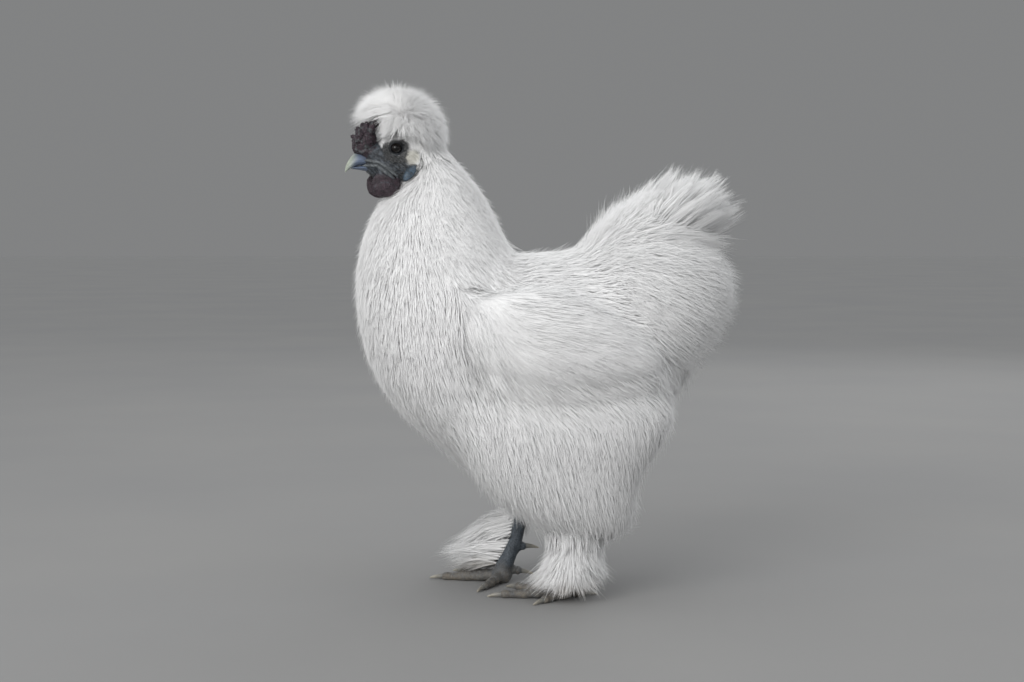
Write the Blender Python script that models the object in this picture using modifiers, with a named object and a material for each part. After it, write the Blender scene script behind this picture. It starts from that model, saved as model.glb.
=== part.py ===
"""A white silkie cockerel, standing, life size. It faces -X with its left side to -Y, and +Z is up.

Every piece reaches out to the tips of its plumage. The pieces meet with a thin gap: each one is
made whole, and then cleared of the neighbours that it runs into. Lengths are in metres.
"""

from math import copysign, cos, pi, radians, sin

import bmesh
import bpy
from mathutils import Vector

GAP = 0.0003

# The head turns towards the bird's left about an upright axis at the nape.
NAPE = Vector((-0.078, 0.0, 0.0))
HEAD_TURN = radians(16)

# Plumage forms, as stations along the form: place, low side, high side, half width, sideways shift.
# On a form along Z the low and high sides are its front and its back, on one along X its
# underside and its top.
FRONT_FORM = (
    (0.3105, -0.084, -0.073, 0.006, 0.0),
    (0.3060, -0.086, -0.0690, 0.013, 0.0),
    (0.2985, -0.0865, -0.0605, 0.020, 0.0),
    (0.2890, -0.0895, -0.0515, 0.027, 0.0),
    (0.2795, -0.0975, -0.0440, 0.032, 0.0),
    (0.2700, -0.1130, -0.0370, 0.0365, 0.0),
    (0.2540, -0.1210, -0.0291, 0.043, 0.0),
    (0.2360, -0.1262, -0.0210, 0.052, 0.0),
    (0.2120, -0.1298, -0.0080, 0.063, 0.0),
    (0.1860, -0.1282, 0.0020, 0.071, 0.0),
    (0.1600, -0.1216, 0.0040, 0.072, 0.0),
    (0.1380, -0.1112, 0.0040, 0.068, 0.0),
    (0.1180, -0.0945, 0.0020, 0.060, 0.0),
    (0.0990, -0.0715, -0.0040, 0.047, 0.0),
    (0.0830, -0.0535, -0.0110, 0.031, 0.0),
    (0.0740, -0.0420, -0.0200, 0.014, 0.0),
)
TRUNK_FORM = (
    (-0.066, 0.130, 0.190, 0.028, 0.0),
    (-0.056, 0.108, 0.212, 0.050, 0.0),
    (-0.038, 0.088, 0.2285, 0.065, 0.0),
    (-0.014, 0.078, 0.2345, 0.073, 0.0),
    (0.010, 0.074, 0.2358, 0.076, 0.0),
    (0.035, 0.078, 0.2350, 0.074, 0.0),
    (0.060, 0.090, 0.2240, 0.065, 0.0),
    (0.079, 0.108, 0.2040, 0.052, 0.0),
    (0.091, 0.128, 0.1800, 0.036, 0.0),
    (0.095, 0.142, 0.1660, 0.018, 0.0),
)
CUSHION_FORM = (
    (0.018, 0.196, 0.2320, 0.030, 0.0),
    (0.030, 0.172, 0.2440, 0.049, 0.0),
    (0.048, 0.149, 0.2520, 0.062, 0.0),
    (0.068, 0.138, 0.2550, 0.067, 0.0),
    (0.088, 0.1405, 0.2530, 0.063, 0.0),
    (0.105, 0.1560, 0.2470, 0.053, 0.0),
    (0.118, 0.1745, 0.2370, 0.040, 0.0),
    (0.127, 0.1920, 0.2240, 0.025, 0.0),
    (0.1312, 0.2030, 0.2130, 0.010, 0.0),
)
TAIL_FORM = (
    (0.018, 0.214, 0.2350, 0.012, 0.0),
    (0.028, 0.214, 0.2480, 0.024, 0.0),
    (0.041, 0.217, 0.2640, 0.036, 0.0),
    (0.062, 0.222, 0.2770, 0.045, 0.0),
    (0.086, 0.226, 0.2870, 0.048, 0.0),
    (0.106, 0.230, 0.2892, 0.043, 0.0),
    (0.121, 0.234, 0.2860, 0.033, 0.0),
    (0.1305, 0.240, 0.2740, 0.020, 0.0),
    (0.1346, 0.248, 0.2600, 0.008, 0.0),
)
WING_FORM = (
    (-0.074, 0.178, 0.192, 0.004, 0.058),
    (-0.066, 0.166, 0.203, 0.010, 0.061),
    (-0.050, 0.1515, 0.213, 0.016, 0.066),
    (-0.026, 0.1415, 0.2175, 0.0195, 0.0695),
    (0.002, 0.1385, 0.2150, 0.0205, 0.0700),
    (0.028, 0.1405, 0.2060, 0.0190, 0.0690),
    (0.052, 0.1440, 0.1910, 0.0155, 0.0660),
    (0.070, 0.1500, 0.1750, 0.0100, 0.0620),
    (0.0785, 0.1560, 0.1650, 0.0040, 0.0590),
)
THIGH_FORM = (
    (0.160, -0.030, 0.066, 0.018, 0.038),
    (0.150, -0.048, 0.082, 0.030, 0.039),
    (0.133, -0.061, 0.0900, 0.0375, 0.0395),
    (0.115, -0.062, 0.0885, 0.0390, 0.0400),
    (0.098, -0.056, 0.0755, 0.0375, 0.0392),
    (0.084, -0.048, 0.0660, 0.0355, 0.0380),
    (0.071, -0.037, 0.0648, 0.0335, 0.0365),
    (0.059, -0.024, 0.0645, 0.0305, 0.0345),
    (0.050, -0.008, 0.0610, 0.0250, 0.0320),
    (0.0445, 0.012, 0.0530, 0.0150, 0.0300),
)
CREST_FORM = (
    (0.3448, -0.1070, -0.0930, 0.006, 0.0),
    (0.3420, -0.1160, -0.0825, 0.0160, 0.0),
    (0.3340, -0.1255, -0.0728, 0.0245, 0.0),
    (0.3240, -0.1303, -0.0664, 0.0290, 0.0),
    (0.3150, -0.1290, -0.0645, 0.0295, 0.0),
    (0.3095, -0.1235, -0.0652, 0.0255, 0.0),
    (0.3065, -0.1150, -0.0680, 0.0190, 0.0),
    (0.3052, -0.1060, -0.0760, 0.0110, 0.0),
)
HEAD_FORM = (
    (-0.1235, 0.2935, 0.2985, 0.0024, 0.0),
    (-0.1215, 0.2880, 0.3030, 0.0062, 0.0),
    (-0.1165, 0.2840, 0.3060, 0.0096, 0.0),
    (-0.1085, 0.2805, 0.3105, 0.0128, 0.0),
    (-0.0990, 0.2792, 0.3150, 0.0145, 0.0),
    (-0.0885, 0.2790, 0.3175, 0.0155, 0.0),
    (-0.0780, 0.2820, 0.3175, 0.0145, 0.0),
    (-0.0710, 0.2880, 0.3130, 0.0105, 0.0),
    (-0.0680, 0.2940, 0.3070, 0.0050, 0.0),
)
UPPER_BEAK_FORM = (
    (-0.1165, 0.2935, 0.2995, 0.0048, 0.0),
    (-0.1215, 0.2917, 0.3010, 0.0056, 0.0),
    (-0.1262, 0.2910, 0.3007, 0.0051, 0.0),
    (-0.1298, 0.2900, 0.2990, 0.0042, 0.0),
    (-0.1325, 0.2889, 0.2957, 0.0030, 0.0),
    (-0.1345, 0.2876, 0.2921, 0.0018, 0.0),
    (-0.1353, 0.2868, 0.2893, 0.0008, 0.0),
)
LOWER_BEAK_FORM = (
    (-0.1165, 0.2875, 0.2905, 0.0036, 0.0),
    (-0.1215, 0.2878, 0.2912, 0.0044, 0.0),
    (-0.1265, 0.2884, 0.2907, 0.0036, 0.0),
    (-0.1305, 0.2889, 0.2899, 0.0018, 0.0),
)

# The hackle is parted from the breast on a plane that rises towards the back.
HACKLE_EDGE = Vector((-0.075, 0.0, 0.2330))
HACKLE_SLOPE = radians(-8)
HALF_SPACE = 0.4

# Head furniture, in the head's own frame.
EYE = Vector((-0.1027, 0.0112, 0.3030))
EYE_RADIUS = 0.0041
EYE_ROOM = Vector((0.0082, 0.0090, 0.0052))
COMB = Vector((-0.1229, 0.0, 0.3104))
COMB_SIZE = Vector((0.0080, 0.0096, 0.0123))
COMB_ROOM = Vector((0.0125, 0.0320, 0.0200))
COMB_LEAN = radians(31)
COMB_POINTS = 5
COMB_ROWS = 3
WATTLE = Vector((-0.1092, 0.0092, 0.2792))
WATTLE_SIZE = Vector((0.0102, 0.0030, 0.0094))
WATTLE_SPLAY = radians(10)
LOBE = Vector((-0.0941, 0.0140, 0.2865))
LOBE_SIZE = Vector((0.0095, 0.0027, 0.0043))
LOBE_TILT = radians(-50)

# Legs, from the thigh plumage down to the pad on the ground, and the toes from root to claw tip.
SHANK_RADII = (0.0054, 0.0048, 0.0044, 0.0050, 0.0064, 0.0070, 0.0058)
FOOT_ROOM = Vector((0.0175, 0.0160, 0.0250))
TOE_RADIUS = 0.0037
CLAW_LENGTH = 0.0105
LEFT_LEG = {
    "shank": (
        (0.0240, -0.0310, 0.070), (0.0225, -0.0305, 0.046), (0.0205, -0.0300, 0.031),
        (0.0170, -0.0290, 0.019), (0.0140, -0.0280, 0.010), (0.0130, -0.0275, 0.003),
        (0.0130, -0.0275, 0.000),
    ),
    "toes": {
        "inner": ((0.012, -0.026, 0.0048), (-0.025, 0.008, 0.0)),
        "middle": ((0.010, -0.028, 0.0050), (-0.0378, -0.0245, 0.0)),
        "outer": ((0.012, -0.030, 0.0048), (-0.007, -0.0505, 0.0)),
        "hind": ((0.016, -0.026, 0.0060), (0.037, -0.015, 0.0)),
        "fifth": ((0.017, -0.028, 0.0190), (0.036, -0.010, 0.0250)),
    },
}
RIGHT_LEG = {
    "shank": (
        (-0.0130, 0.0300, 0.075), (-0.0152, 0.0280, 0.046), (-0.0178, 0.0270, 0.031),
        (-0.0225, 0.0265, 0.020), (-0.0268, 0.0260, 0.011), (-0.0285, 0.0260, 0.003),
        (-0.0285, 0.0260, 0.000),
    ),
    "toes": {
        "inner": ((-0.029, 0.024, 0.0060), (-0.0450, -0.0095, 0.0)),
        "middle": ((-0.030, 0.027, 0.0052), (-0.0797, 0.0380, 0.0)),
        "outer": ((-0.029, 0.029, 0.0048), (-0.0640, 0.0640, 0.0)),
        "hind": ((-0.026, 0.027, 0.0125), (-0.0055, 0.0310, 0.0080)),
        "fifth": ((-0.022, 0.027, 0.0220), (-0.0020, 0.0300, 0.0255)),
    },
}
# Feathering down the outer side of each shank and over the outer toes, as upright forms.
LEFT_FEATHER_FORM = (
    (0.0600, 0.0150, 0.0300, 0.0060, 0.0330),
    (0.0500, 0.0100, 0.0330, 0.0110, 0.0335),
    (0.0400, 0.0060, 0.0370, 0.0150, 0.0340),
    (0.0300, 0.0010, 0.0412, 0.0175, 0.0340),
    (0.0210, -0.0065, 0.0450, 0.0190, 0.0340),
    (0.0130, -0.0120, 0.0440, 0.0195, 0.0345),
    (0.0065, -0.0110, 0.0370, 0.0180, 0.0360),
    (0.0015, -0.0020, 0.0270, 0.0130, 0.0385),
    (-0.0010, 0.0020, 0.0220, 0.0100, 0.0395),
)
RIGHT_FEATHER_FORM = (
    (0.0640, -0.0220, -0.0100, 0.0050, 0.0380),
    (0.0540, -0.0285, -0.0120, 0.0075, 0.0400),
    (0.0420, -0.0410, -0.0160, 0.0100, 0.0430),
    (0.0310, -0.0570, -0.0210, 0.0125, 0.0470),
    (0.0220, -0.0725, -0.0250, 0.0145, 0.0500),
    (0.0150, -0.0785, -0.0260, 0.0150, 0.0520),
    (0.0075, -0.0730, -0.0280, 0.0130, 0.0530),
    (0.0030, -0.0620, -0.0330, 0.0090, 0.0530),
)

COLOURS = {
    "plumage": ((0.86, 0.86, 0.85), 0.80),
    "dusty_plumage": ((0.74, 0.70, 0.63), 0.85),
    "face_skin": ((0.045, 0.055, 0.070), 0.55),
    "comb_skin": ((0.055, 0.030, 0.042), 0.55),
    "lobe_skin": ((0.120, 0.240, 0.400), 0.50),
    "beak_horn": ((0.170, 0.205, 0.260), 0.40),
    "leg_skin": ((0.085, 0.098, 0.110), 0.65),
    "claw_horn": ((0.300, 0.285, 0.250), 0.45),
    "eye": ((0.012, 0.010, 0.009), 0.05),
}
BODY_NAME = "silkie_chicken"


def clear_scene():
    for obj in list(bpy.data.objects):
        bpy.data.objects.remove(obj, do_unlink=True)


def make_collection(name):
    made = bpy.data.collections.new(name)
    bpy.context.scene.collection.children.link(made)
    return made


def make_material(name, colour, roughness):
    material = bpy.data.materials.new(name)
    material.use_nodes = True
    surface = material.node_tree.nodes["Principled BSDF"]
    surface.inputs["Base Color"].default_value = (*colour, 1.0)
    surface.inputs["Roughness"].default_value = roughness
    surface.inputs["Metallic"].default_value = 0.0
    material.diffuse_color = (*colour, 1.0)
    return material


def spline(rows, place):
    """The rows read as a smooth curve: place 0 is the first row and len(rows) - 1 the last."""
    start = min(int(place), len(rows) - 2)
    part = place - start
    around = [rows[max(0, min(len(rows) - 1, start + step))] for step in (-1, 0, 1, 2)]
    return [
        b
        + 0.5 * part * (c - a)
        + part**2 * (a - 2.5 * b + 2 * c - 0.5 * d)
        + part**3 * (1.5 * (b - c) + 0.5 * (d - a))
        for a, b, c, d in zip(*around)
    ]


def rounded(turn, fullness):
    """A point of a rounded section: fullness 2 is an ellipse, and more is fuller in the corners."""
    power = 2 / fullness
    across = copysign(abs(cos(turn)) ** power, cos(turn))
    upward = copysign(abs(sin(turn)) ** power, sin(turn))
    return across, upward


def mesh_from_loops(name, loops):
    """A closed skin over loops of points that all have the same count."""
    made = bmesh.new()
    rings = [[made.verts.new(point) for point in loop] for loop in loops]
    for lower, upper in zip(rings, rings[1:]):
        for k in range(len(lower)):
            after = (k + 1) % len(lower)
            made.faces.new((lower[k], lower[after], upper[after], upper[k]))
    made.faces.new(rings[0])
    made.faces.new(rings[-1])
    bmesh.ops.recalc_face_normals(made, faces=made.faces)
    bmesh.ops.triangulate(made, faces=made.faces)
    mesh = bpy.data.meshes.new(name)
    made.to_mesh(mesh)
    made.free()
    mesh.shade_smooth()
    return mesh


def form_mesh(name, form, axis, sides, rings, fullness=2.15, mirror=1):
    """A lofted form over its stations, along X or along Z."""
    loops = []
    for ring in range(rings):
        along, low, high, half, shift = spline(form, ring * (len(form) - 1) / (rings - 1))
        loop = []
        for side in range(sides):
            across, upward = rounded(2 * pi * (side + 0.5) / sides, fullness)
            y = mirror * (shift + half * across)
            other = (low + high) / 2 + upward * (high - low) / 2
            loop.append((along, y, other) if axis == "X" else (other, y, along))
        loops.append(loop)
    return mesh_from_loops(name, loops)


def tube_mesh(name, centres, radii, sides, level):
    """A tube over centres and their radii, pressed flat where it comes down to a level."""
    loops = []
    way = centres[1] - centres[0]
    turn = way.to_track_quat("Z", "Y")
    for k, centre in enumerate(centres):
        ahead = centres[min(len(centres) - 1, k + 1)] - centres[max(0, k - 1)]
        turn = way.rotation_difference(ahead) @ turn
        way = ahead
        loop = []
        for side in range(sides):
            angle = 2 * pi * (side + 0.5) / sides
            point = centre + turn @ Vector((cos(angle), sin(angle), 0.0)) * radii[k]
            point.z = max(point.z, level)
            loop.append(point)
        loops.append(loop)
    return mesh_from_loops(name, loops)


def add_piece(name, mesh, material, parent=None):
    piece = bpy.data.objects.new(name, mesh)
    mesh.materials.clear()
    mesh.materials.append(materials[material])
    pieces.objects.link(piece)
    piece.parent = parent
    return piece


def add_ball(name, centre, size, material, parent=None, turn=(0, 0, 0), segments=14, rings=8):
    """A squashed ball, with the size as its radii."""
    bpy.ops.mesh.primitive_uv_sphere_add(segments=segments, ring_count=rings, radius=1.0)
    ball = bpy.context.object
    ball.name = name
    for vertex in ball.data.vertices:
        vertex.co = Vector(a * b for a, b in zip(vertex.co, size))
    ball.data.shade_smooth()
    ball.data.materials.append(materials[material])
    for collection in list(ball.users_collection):
        collection.objects.unlink(ball)
    pieces.objects.link(ball)
    ball.parent = parent
    ball.location = centre
    ball.rotation_euler = turn
    return ball


def hide_as_cutter(obj):
    obj.hide_render = True
    obj.display_type = "WIRE"
    for collection in list(obj.users_collection):
        collection.objects.unlink(obj)
    cutters.objects.link(obj)
    return obj


def cutter_of(piece):
    """The piece's whole form, grown by the gap."""
    name = piece.name + "_cutter"
    if name in bpy.data.objects:
        return bpy.data.objects[name]
    cutter = bpy.data.objects.new(name, piece.data)
    cutter.parent = piece.parent
    cutter.location = piece.location
    cutter.rotation_euler = piece.rotation_euler
    cutters.objects.link(cutter)
    grow = cutter.modifiers.new("grow", "DISPLACE")
    grow.direction = "NORMAL"
    grow.mid_level = 0.0
    grow.strength = GAP
    return hide_as_cutter(cutter)


def add_boolean(piece, operation, cutter, solver="EXACT"):
    boolean = piece.modifiers.new(f"{operation.lower()}_{cutter.name}", "BOOLEAN")
    boolean.operation = operation
    boolean.solver = solver
    boolean.object = cutter


def clear_of(piece, *neighbours, solver="EXACT"):
    """Cuts the piece back to just short of its neighbours' whole forms."""
    for neighbour in neighbours:
        add_boolean(piece, "DIFFERENCE", cutter_of(neighbour), solver)


def half_space(name, side):
    """A block that fills one side of the hackle's edge, short of it by half the gap."""
    bpy.ops.mesh.primitive_cube_add(size=HALF_SPACE)
    block = bpy.context.object
    block.name = name
    block.rotation_euler = (0.0, HACKLE_SLOPE, 0.0)
    upward = Vector((sin(HACKLE_SLOPE), 0.0, cos(HACKLE_SLOPE)))
    block.location = HACKLE_EDGE + side * upward * (HALF_SPACE + GAP) / 2
    return hide_as_cutter(block)


def build_body():
    """The plumage forms of the neck, breast, trunk, tail, wings and thighs."""
    front_mesh = form_mesh("front", FRONT_FORM, "Z", 18, 16)
    front = hide_as_cutter(add_piece("front", front_mesh, "plumage"))
    neck = add_piece("neck", front_mesh.copy(), "plumage")
    add_boolean(neck, "INTERSECT", half_space("above_hackle_edge", 1))
    breast = add_piece("breast", front_mesh.copy(), "plumage")
    add_boolean(breast, "INTERSECT", half_space("below_hackle_edge", -1))

    trunk_mesh = form_mesh("trunk", TRUNK_FORM, "X", 20, 12, fullness=2.3)
    trunk = add_piece("trunk", trunk_mesh, "plumage")
    clear_of(trunk, front)
    cushion = add_piece("cushion", form_mesh("cushion", CUSHION_FORM, "X", 18, 11), "plumage")
    clear_of(cushion, trunk, front)
    tail = add_piece("tail", form_mesh("tail", TAIL_FORM, "X", 16, 10), "plumage")
    clear_of(tail, trunk, cushion)

    for side, mirror in (("left", -1), ("right", 1)):
        wing_mesh = form_mesh("wing_" + side, WING_FORM, "X", 14, 10, mirror=mirror)
        wing = add_piece("wing_" + side, wing_mesh, "plumage")
        clear_of(wing, trunk, front, cushion)
        thigh_mesh = form_mesh("thigh_" + side, THIGH_FORM, "Z", 16, 11, mirror=mirror)
        thigh = add_piece("thigh_" + side, thigh_mesh, "plumage")
        # The exact solver drops faces where the thigh and trunk skim each other.
        clear_of(thigh, trunk, front, cushion, wing, solver="MANIFOLD")
    return neck


def comb_mesh():
    """A walnut comb: a leaning cushion of flesh set with rows of blunt points, longer to the back."""
    made = bmesh.new()

    def add_bump(centre, radius, detail):
        bump = bmesh.ops.create_uvsphere(made, u_segments=detail, v_segments=detail, radius=1.0)
        for vertex in bump["verts"]:
            vertex.co = centre + Vector(a * b for a, b in zip(vertex.co, radius))

    add_bump(Vector(), COMB_SIZE * 0.86, 24)
    for row in range(COMB_ROWS):
        sideways = (row - 1) * 0.0055
        for point in range(COMB_POINTS):
            share = point / (COMB_POINTS - 1)
            angle = radians(-35 + 125 * share)
            reach = 0.0062 + 0.0042 * share
            centre = Vector((-0.0068 * cos(angle), sideways, reach * sin(angle) * 1.05))
            size = 0.0026 + 0.0007 * share
            add_bump(centre, Vector((size, size * 0.9, size * 1.25)), 12)
    mesh = bpy.data.meshes.new("comb")
    made.to_mesh(mesh)
    made.free()
    return mesh


def settled(piece):
    """The piece's mesh as its modifiers leave it, in place of its own mesh."""
    graph = bpy.context.evaluated_depsgraph_get()
    mesh = bpy.data.meshes.new_from_object(piece.evaluated_get(graph))
    piece.modifiers.clear()
    piece.data = mesh
    return piece


def build_comb(parent):
    comb = add_piece("comb", comb_mesh(), "comb_skin", parent)
    comb.location = COMB
    comb.rotation_euler = (0.0, COMB_LEAN, 0.0)
    join = comb.modifiers.new("join", "REMESH")
    join.mode = "VOXEL"
    join.voxel_size = 0.0007
    soften = comb.modifiers.new("soften", "SMOOTH")
    soften.iterations = 2
    thin_out = comb.modifiers.new("thin_out", "DECIMATE")
    thin_out.ratio = 0.037
    return settled(comb)


def build_head(neck):
    """The head with its bill, comb, wattles, ear lobes, eyes and crest, turned about the nape."""
    turn = bpy.data.objects.new("head_turn", None)
    pieces.objects.link(turn)
    turn.location = NAPE
    turn.rotation_euler = (0.0, 0.0, HEAD_TURN)
    offset = bpy.data.objects.new("head_frame", None)
    pieces.objects.link(offset)
    offset.parent = turn
    offset.location = -NAPE

    head = add_piece("head", form_mesh("head", HEAD_FORM, "X", 12, 10), "face_skin", offset)
    upper = form_mesh("beak_upper", UPPER_BEAK_FORM, "X", 9, 8, fullness=1.9)
    beak_upper = add_piece("beak_upper", upper, "beak_horn", offset)
    lower = form_mesh("beak_lower", LOWER_BEAK_FORM, "X", 9, 5, fullness=1.9)
    beak_lower = add_piece("beak_lower", lower, "beak_horn", offset)
    clear_of(beak_upper, head)
    clear_of(beak_lower, head, beak_upper)
    comb = build_comb(offset)
    clear_of(comb, head, beak_upper)
    crest = add_piece("crest", form_mesh("crest", CREST_FORM, "Z", 16, 9), "plumage", offset)
    comb_room = hide_as_cutter(
        add_ball("comb_room", COMB, COMB_ROOM, "comb_skin", offset, (0, COMB_LEAN, 0), 12, 8)
    )
    clear_of(crest, head)
    add_boolean(crest, "DIFFERENCE", comb_room)

    clear_of(neck, head, crest)
    for side, mirror in (("left", -1), ("right", 1)):
        flip = Vector((1, mirror, 1))
        eye = add_ball(
            "eye_" + side, EYE * flip, (EYE_RADIUS,) * 3, "eye", offset, segments=10, rings=7
        )
        clear_of(head, eye)
        eye_room = add_ball(
            "eye_room_" + side, EYE * flip, EYE_ROOM, "eye", offset, segments=10, rings=6
        )
        add_boolean(crest, "DIFFERENCE", hide_as_cutter(eye_room))
        wattle = add_ball(
            "wattle_" + side, WATTLE * flip, WATTLE_SIZE, "comb_skin", offset,
            turn=(-mirror * WATTLE_SPLAY, 0.0, 0.0), segments=12, rings=7,
        )
        clear_of(wattle, head, beak_lower)
        lobe = add_ball(
            "lobe_" + side, LOBE * flip, LOBE_SIZE, "lobe_skin", offset,
            turn=(0.0, LOBE_TILT, 0.0), segments=10, rings=6,
        )
        clear_of(lobe, head, wattle)
        clear_of(neck, wattle, lobe)


def toe_rings(root, tip, rings):
    """Centres and radii along a toe, from its root to its rounded end, short of its claw."""
    ahead = Vector((tip.x - root.x, tip.y - root.y, 0.0))
    share_of_claw = (CLAW_LENGTH + 0.0014) / ahead.length
    end_height = tip.z if tip.z > 0 else 0.0019
    centres, radii = [], []
    for k in range(rings):
        share = k / (rings - 1)
        centre = root + ahead * share * (1.0 - share_of_claw)
        centre.z += (end_height - root.z) * sin(share * pi / 2)
        centres.append(centre)
        pads = 0.0003 * cos(6 * pi * share)
        radii.append(TOE_RADIUS * (1.0 - 0.28 * share) + pads)
    way = (centres[-1] - centres[-2]).normalized()
    centres.append(centres[-1] + way * 0.0011)
    radii.append(radii[-1] * 0.64)
    return centres, radii


def build_toe(name, root, tip):
    """A toe with its joint pads, pressed flat where it bears on the ground, and its claw."""
    centres, radii = toe_rings(root, tip, rings=6)
    toe_tube = tube_mesh(f"toe_{name}", centres, radii, 7, level=0.0)
    toe = add_piece(f"toe_{name}", toe_tube, "leg_skin")

    way = (centres[-1] - centres[-2]).normalized()
    start = centres[-1] + way * GAP
    droop = (start.z - 0.0012) if tip.z == 0 else 0.0020
    claw_centres, claw_radii = [], []
    for k in range(5):
        share = k / 4
        claw_centres.append(start + way * CLAW_LENGTH * share - Vector((0, 0, droop * share**2)))
        claw_radii.append(0.0015 * (1.0 - share) ** 0.6 + 0.0003)
    claw_tube = tube_mesh(f"claw_{name}", claw_centres, claw_radii, 6, level=0.0003)
    claw = add_piece(f"claw_{name}", claw_tube, "claw_horn")
    return toe, claw


def build_leg(side, leg, feather_form):
    """A shank that runs from the thigh plumage to the foot, the toes, and the feathering outside."""
    mirror = -1 if side == "left" else 1
    thigh = bpy.data.objects["thigh_" + side]
    centres = [Vector(centre) for centre in leg["shank"]]
    shank_mesh = tube_mesh("shank_" + side, centres, SHANK_RADII, 10, level=0.0)
    shank = add_piece("shank_" + side, shank_mesh, "leg_skin")
    clear_of(shank, thigh)

    toes, claws = [], []
    for name, (root, tip) in leg["toes"].items():
        toe, claw = build_toe(f"{name}_{side}", Vector(root), Vector(tip))
        clear_of(toe, shank, *toes)
        toes.append(toe)
        claws.append(claw)

    feather_mesh = form_mesh("leg_feathers_" + side, feather_form, "Z", 11, 8, mirror=mirror)
    for vertex in feather_mesh.vertices:
        vertex.co.z = max(vertex.co.z, 0.0)
    feathers = add_piece("leg_feathers_" + side, feather_mesh, "dusty_plumage")
    foot_room = add_ball(
        "foot_room_" + side, centres[-2], FOOT_ROOM, "leg_skin", segments=10, rings=6
    )
    add_boolean(feathers, "DIFFERENCE", hide_as_cutter(foot_room))
    clear_of(feathers, thigh, shank, *toes, *claws)


def build_all():
    neck = build_body()
    build_head(neck)
    build_leg("left", LEFT_LEG, LEFT_FEATHER_FORM)
    build_leg("right", RIGHT_LEG, RIGHT_FEATHER_FORM)


clear_scene()
pieces = make_collection(BODY_NAME)
cutters = make_collection("cutters")
materials = {name: make_material(name, *look) for name, look in COLOURS.items()}
build_all()
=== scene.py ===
import math
import time

import bmesh
import bpy
import numpy as np
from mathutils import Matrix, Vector
from mathutils.bvhtree import BVHTree
from mathutils.kdtree import KDTree


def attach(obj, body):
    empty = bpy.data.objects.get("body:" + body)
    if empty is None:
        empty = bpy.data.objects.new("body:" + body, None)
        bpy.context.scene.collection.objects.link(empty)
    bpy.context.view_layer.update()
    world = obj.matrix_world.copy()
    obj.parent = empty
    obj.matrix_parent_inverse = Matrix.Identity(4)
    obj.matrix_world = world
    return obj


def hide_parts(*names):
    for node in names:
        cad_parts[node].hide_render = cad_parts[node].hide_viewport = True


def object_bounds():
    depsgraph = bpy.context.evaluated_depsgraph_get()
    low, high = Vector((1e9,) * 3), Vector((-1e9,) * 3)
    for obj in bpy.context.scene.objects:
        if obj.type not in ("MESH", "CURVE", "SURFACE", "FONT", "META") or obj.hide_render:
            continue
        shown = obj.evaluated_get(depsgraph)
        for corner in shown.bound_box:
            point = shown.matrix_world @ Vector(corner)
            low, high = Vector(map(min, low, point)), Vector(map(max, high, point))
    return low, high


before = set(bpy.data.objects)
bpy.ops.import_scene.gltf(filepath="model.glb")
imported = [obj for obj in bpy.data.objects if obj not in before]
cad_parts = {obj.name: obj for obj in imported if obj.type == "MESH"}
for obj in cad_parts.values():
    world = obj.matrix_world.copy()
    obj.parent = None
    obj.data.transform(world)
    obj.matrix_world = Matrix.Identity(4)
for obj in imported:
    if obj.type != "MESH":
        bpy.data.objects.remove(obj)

# A white silkie cockerel: one skin over the whole bird, a coat of hair-like plumage in solid
# tufts, and a separate bill, eyes and claws. It faces -X with its left side to -Y.

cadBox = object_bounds()
started = time.time()
rng = np.random.default_rng(20)


def report(stage):
    print(f"{time.time() - started:6.1f} s  {stage}", flush=True)


# Shared mesh helpers

def valuesOf(items, name, width, kind=np.float32):
    values = np.empty(len(items) * width, kind)
    items.foreach_get(name, values)
    return values.reshape(-1, width)


def pointsOf(mesh):
    return valuesOf(mesh.vertices, "co", 3).astype(np.float64)


def normalsOf(mesh):
    return valuesOf(mesh.vertex_normals, "vector", 3).astype(np.float64)


def trianglesOf(mesh, corners="vertices"):
    mesh.calc_loop_triangles()
    return valuesOf(mesh.loop_triangles, corners, 3, np.int32)


def setPoints(mesh, points):
    mesh.vertices.foreach_set("co", np.asarray(points, np.float32).ravel())
    mesh.update()


def meshFrom(name, points, faces):
    mesh = bpy.data.meshes.new(name)
    faces = np.asarray(faces, np.int32)
    mesh.vertices.add(len(points))
    mesh.vertices.foreach_set("co", np.asarray(points, np.float32).ravel())
    mesh.loops.add(faces.size)
    mesh.loops.foreach_set("vertex_index", faces.ravel())
    mesh.polygons.add(len(faces))
    mesh.polygons.foreach_set("loop_start", np.arange(0, faces.size, faces.shape[1], dtype=np.int32))
    mesh.update(calc_edges=True)
    mesh.shade_smooth()
    return mesh


def addObject(name, mesh):
    made = bpy.data.objects.new(name, mesh)
    bpy.context.scene.collection.objects.link(made)
    return made


def finished(obj):  # the mesh as its modifiers leave it, in place of its own
    graph = bpy.context.evaluated_depsgraph_get()
    mesh = bpy.data.meshes.new_from_object(obj.evaluated_get(graph))
    obj.modifiers.clear()
    obj.data = mesh
    return obj


def modify(obj, kind, **settings):
    modifier = obj.modifiers.new(kind.lower(), kind)
    for name, value in settings.items():
        setattr(modifier, name, value)


def meshOf(form, name):  # a bmesh made into a smooth mesh
    mesh = bpy.data.meshes.new(name)
    form.to_mesh(mesh)
    form.free()
    mesh.shade_smooth()
    return mesh


def unit(vectors):
    return vectors / np.maximum(np.linalg.norm(vectors, axis=-1, keepdims=True), 1e-12)


def smoothstep(low, high, value):
    share = np.clip((value - low) / (high - low), 0, 1)
    return share * share * (3 - 2 * share)


def crossOf(points, faces):  # each triangle's normal, as long as twice its area
    a, b, c = (points[..., faces[:, k], :] for k in range(3))
    return np.cross(b - a, c - a)


def offLine(points, a, b):  # how far along a stretch each point is, from 0 to 1, and its step off it
    a, way = np.array(a, float), np.array(b, float) - np.array(a, float)
    share = np.clip(((points - a) @ way) / (way @ way), 0, 1)
    return share, points - a - share[..., None] * way


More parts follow.
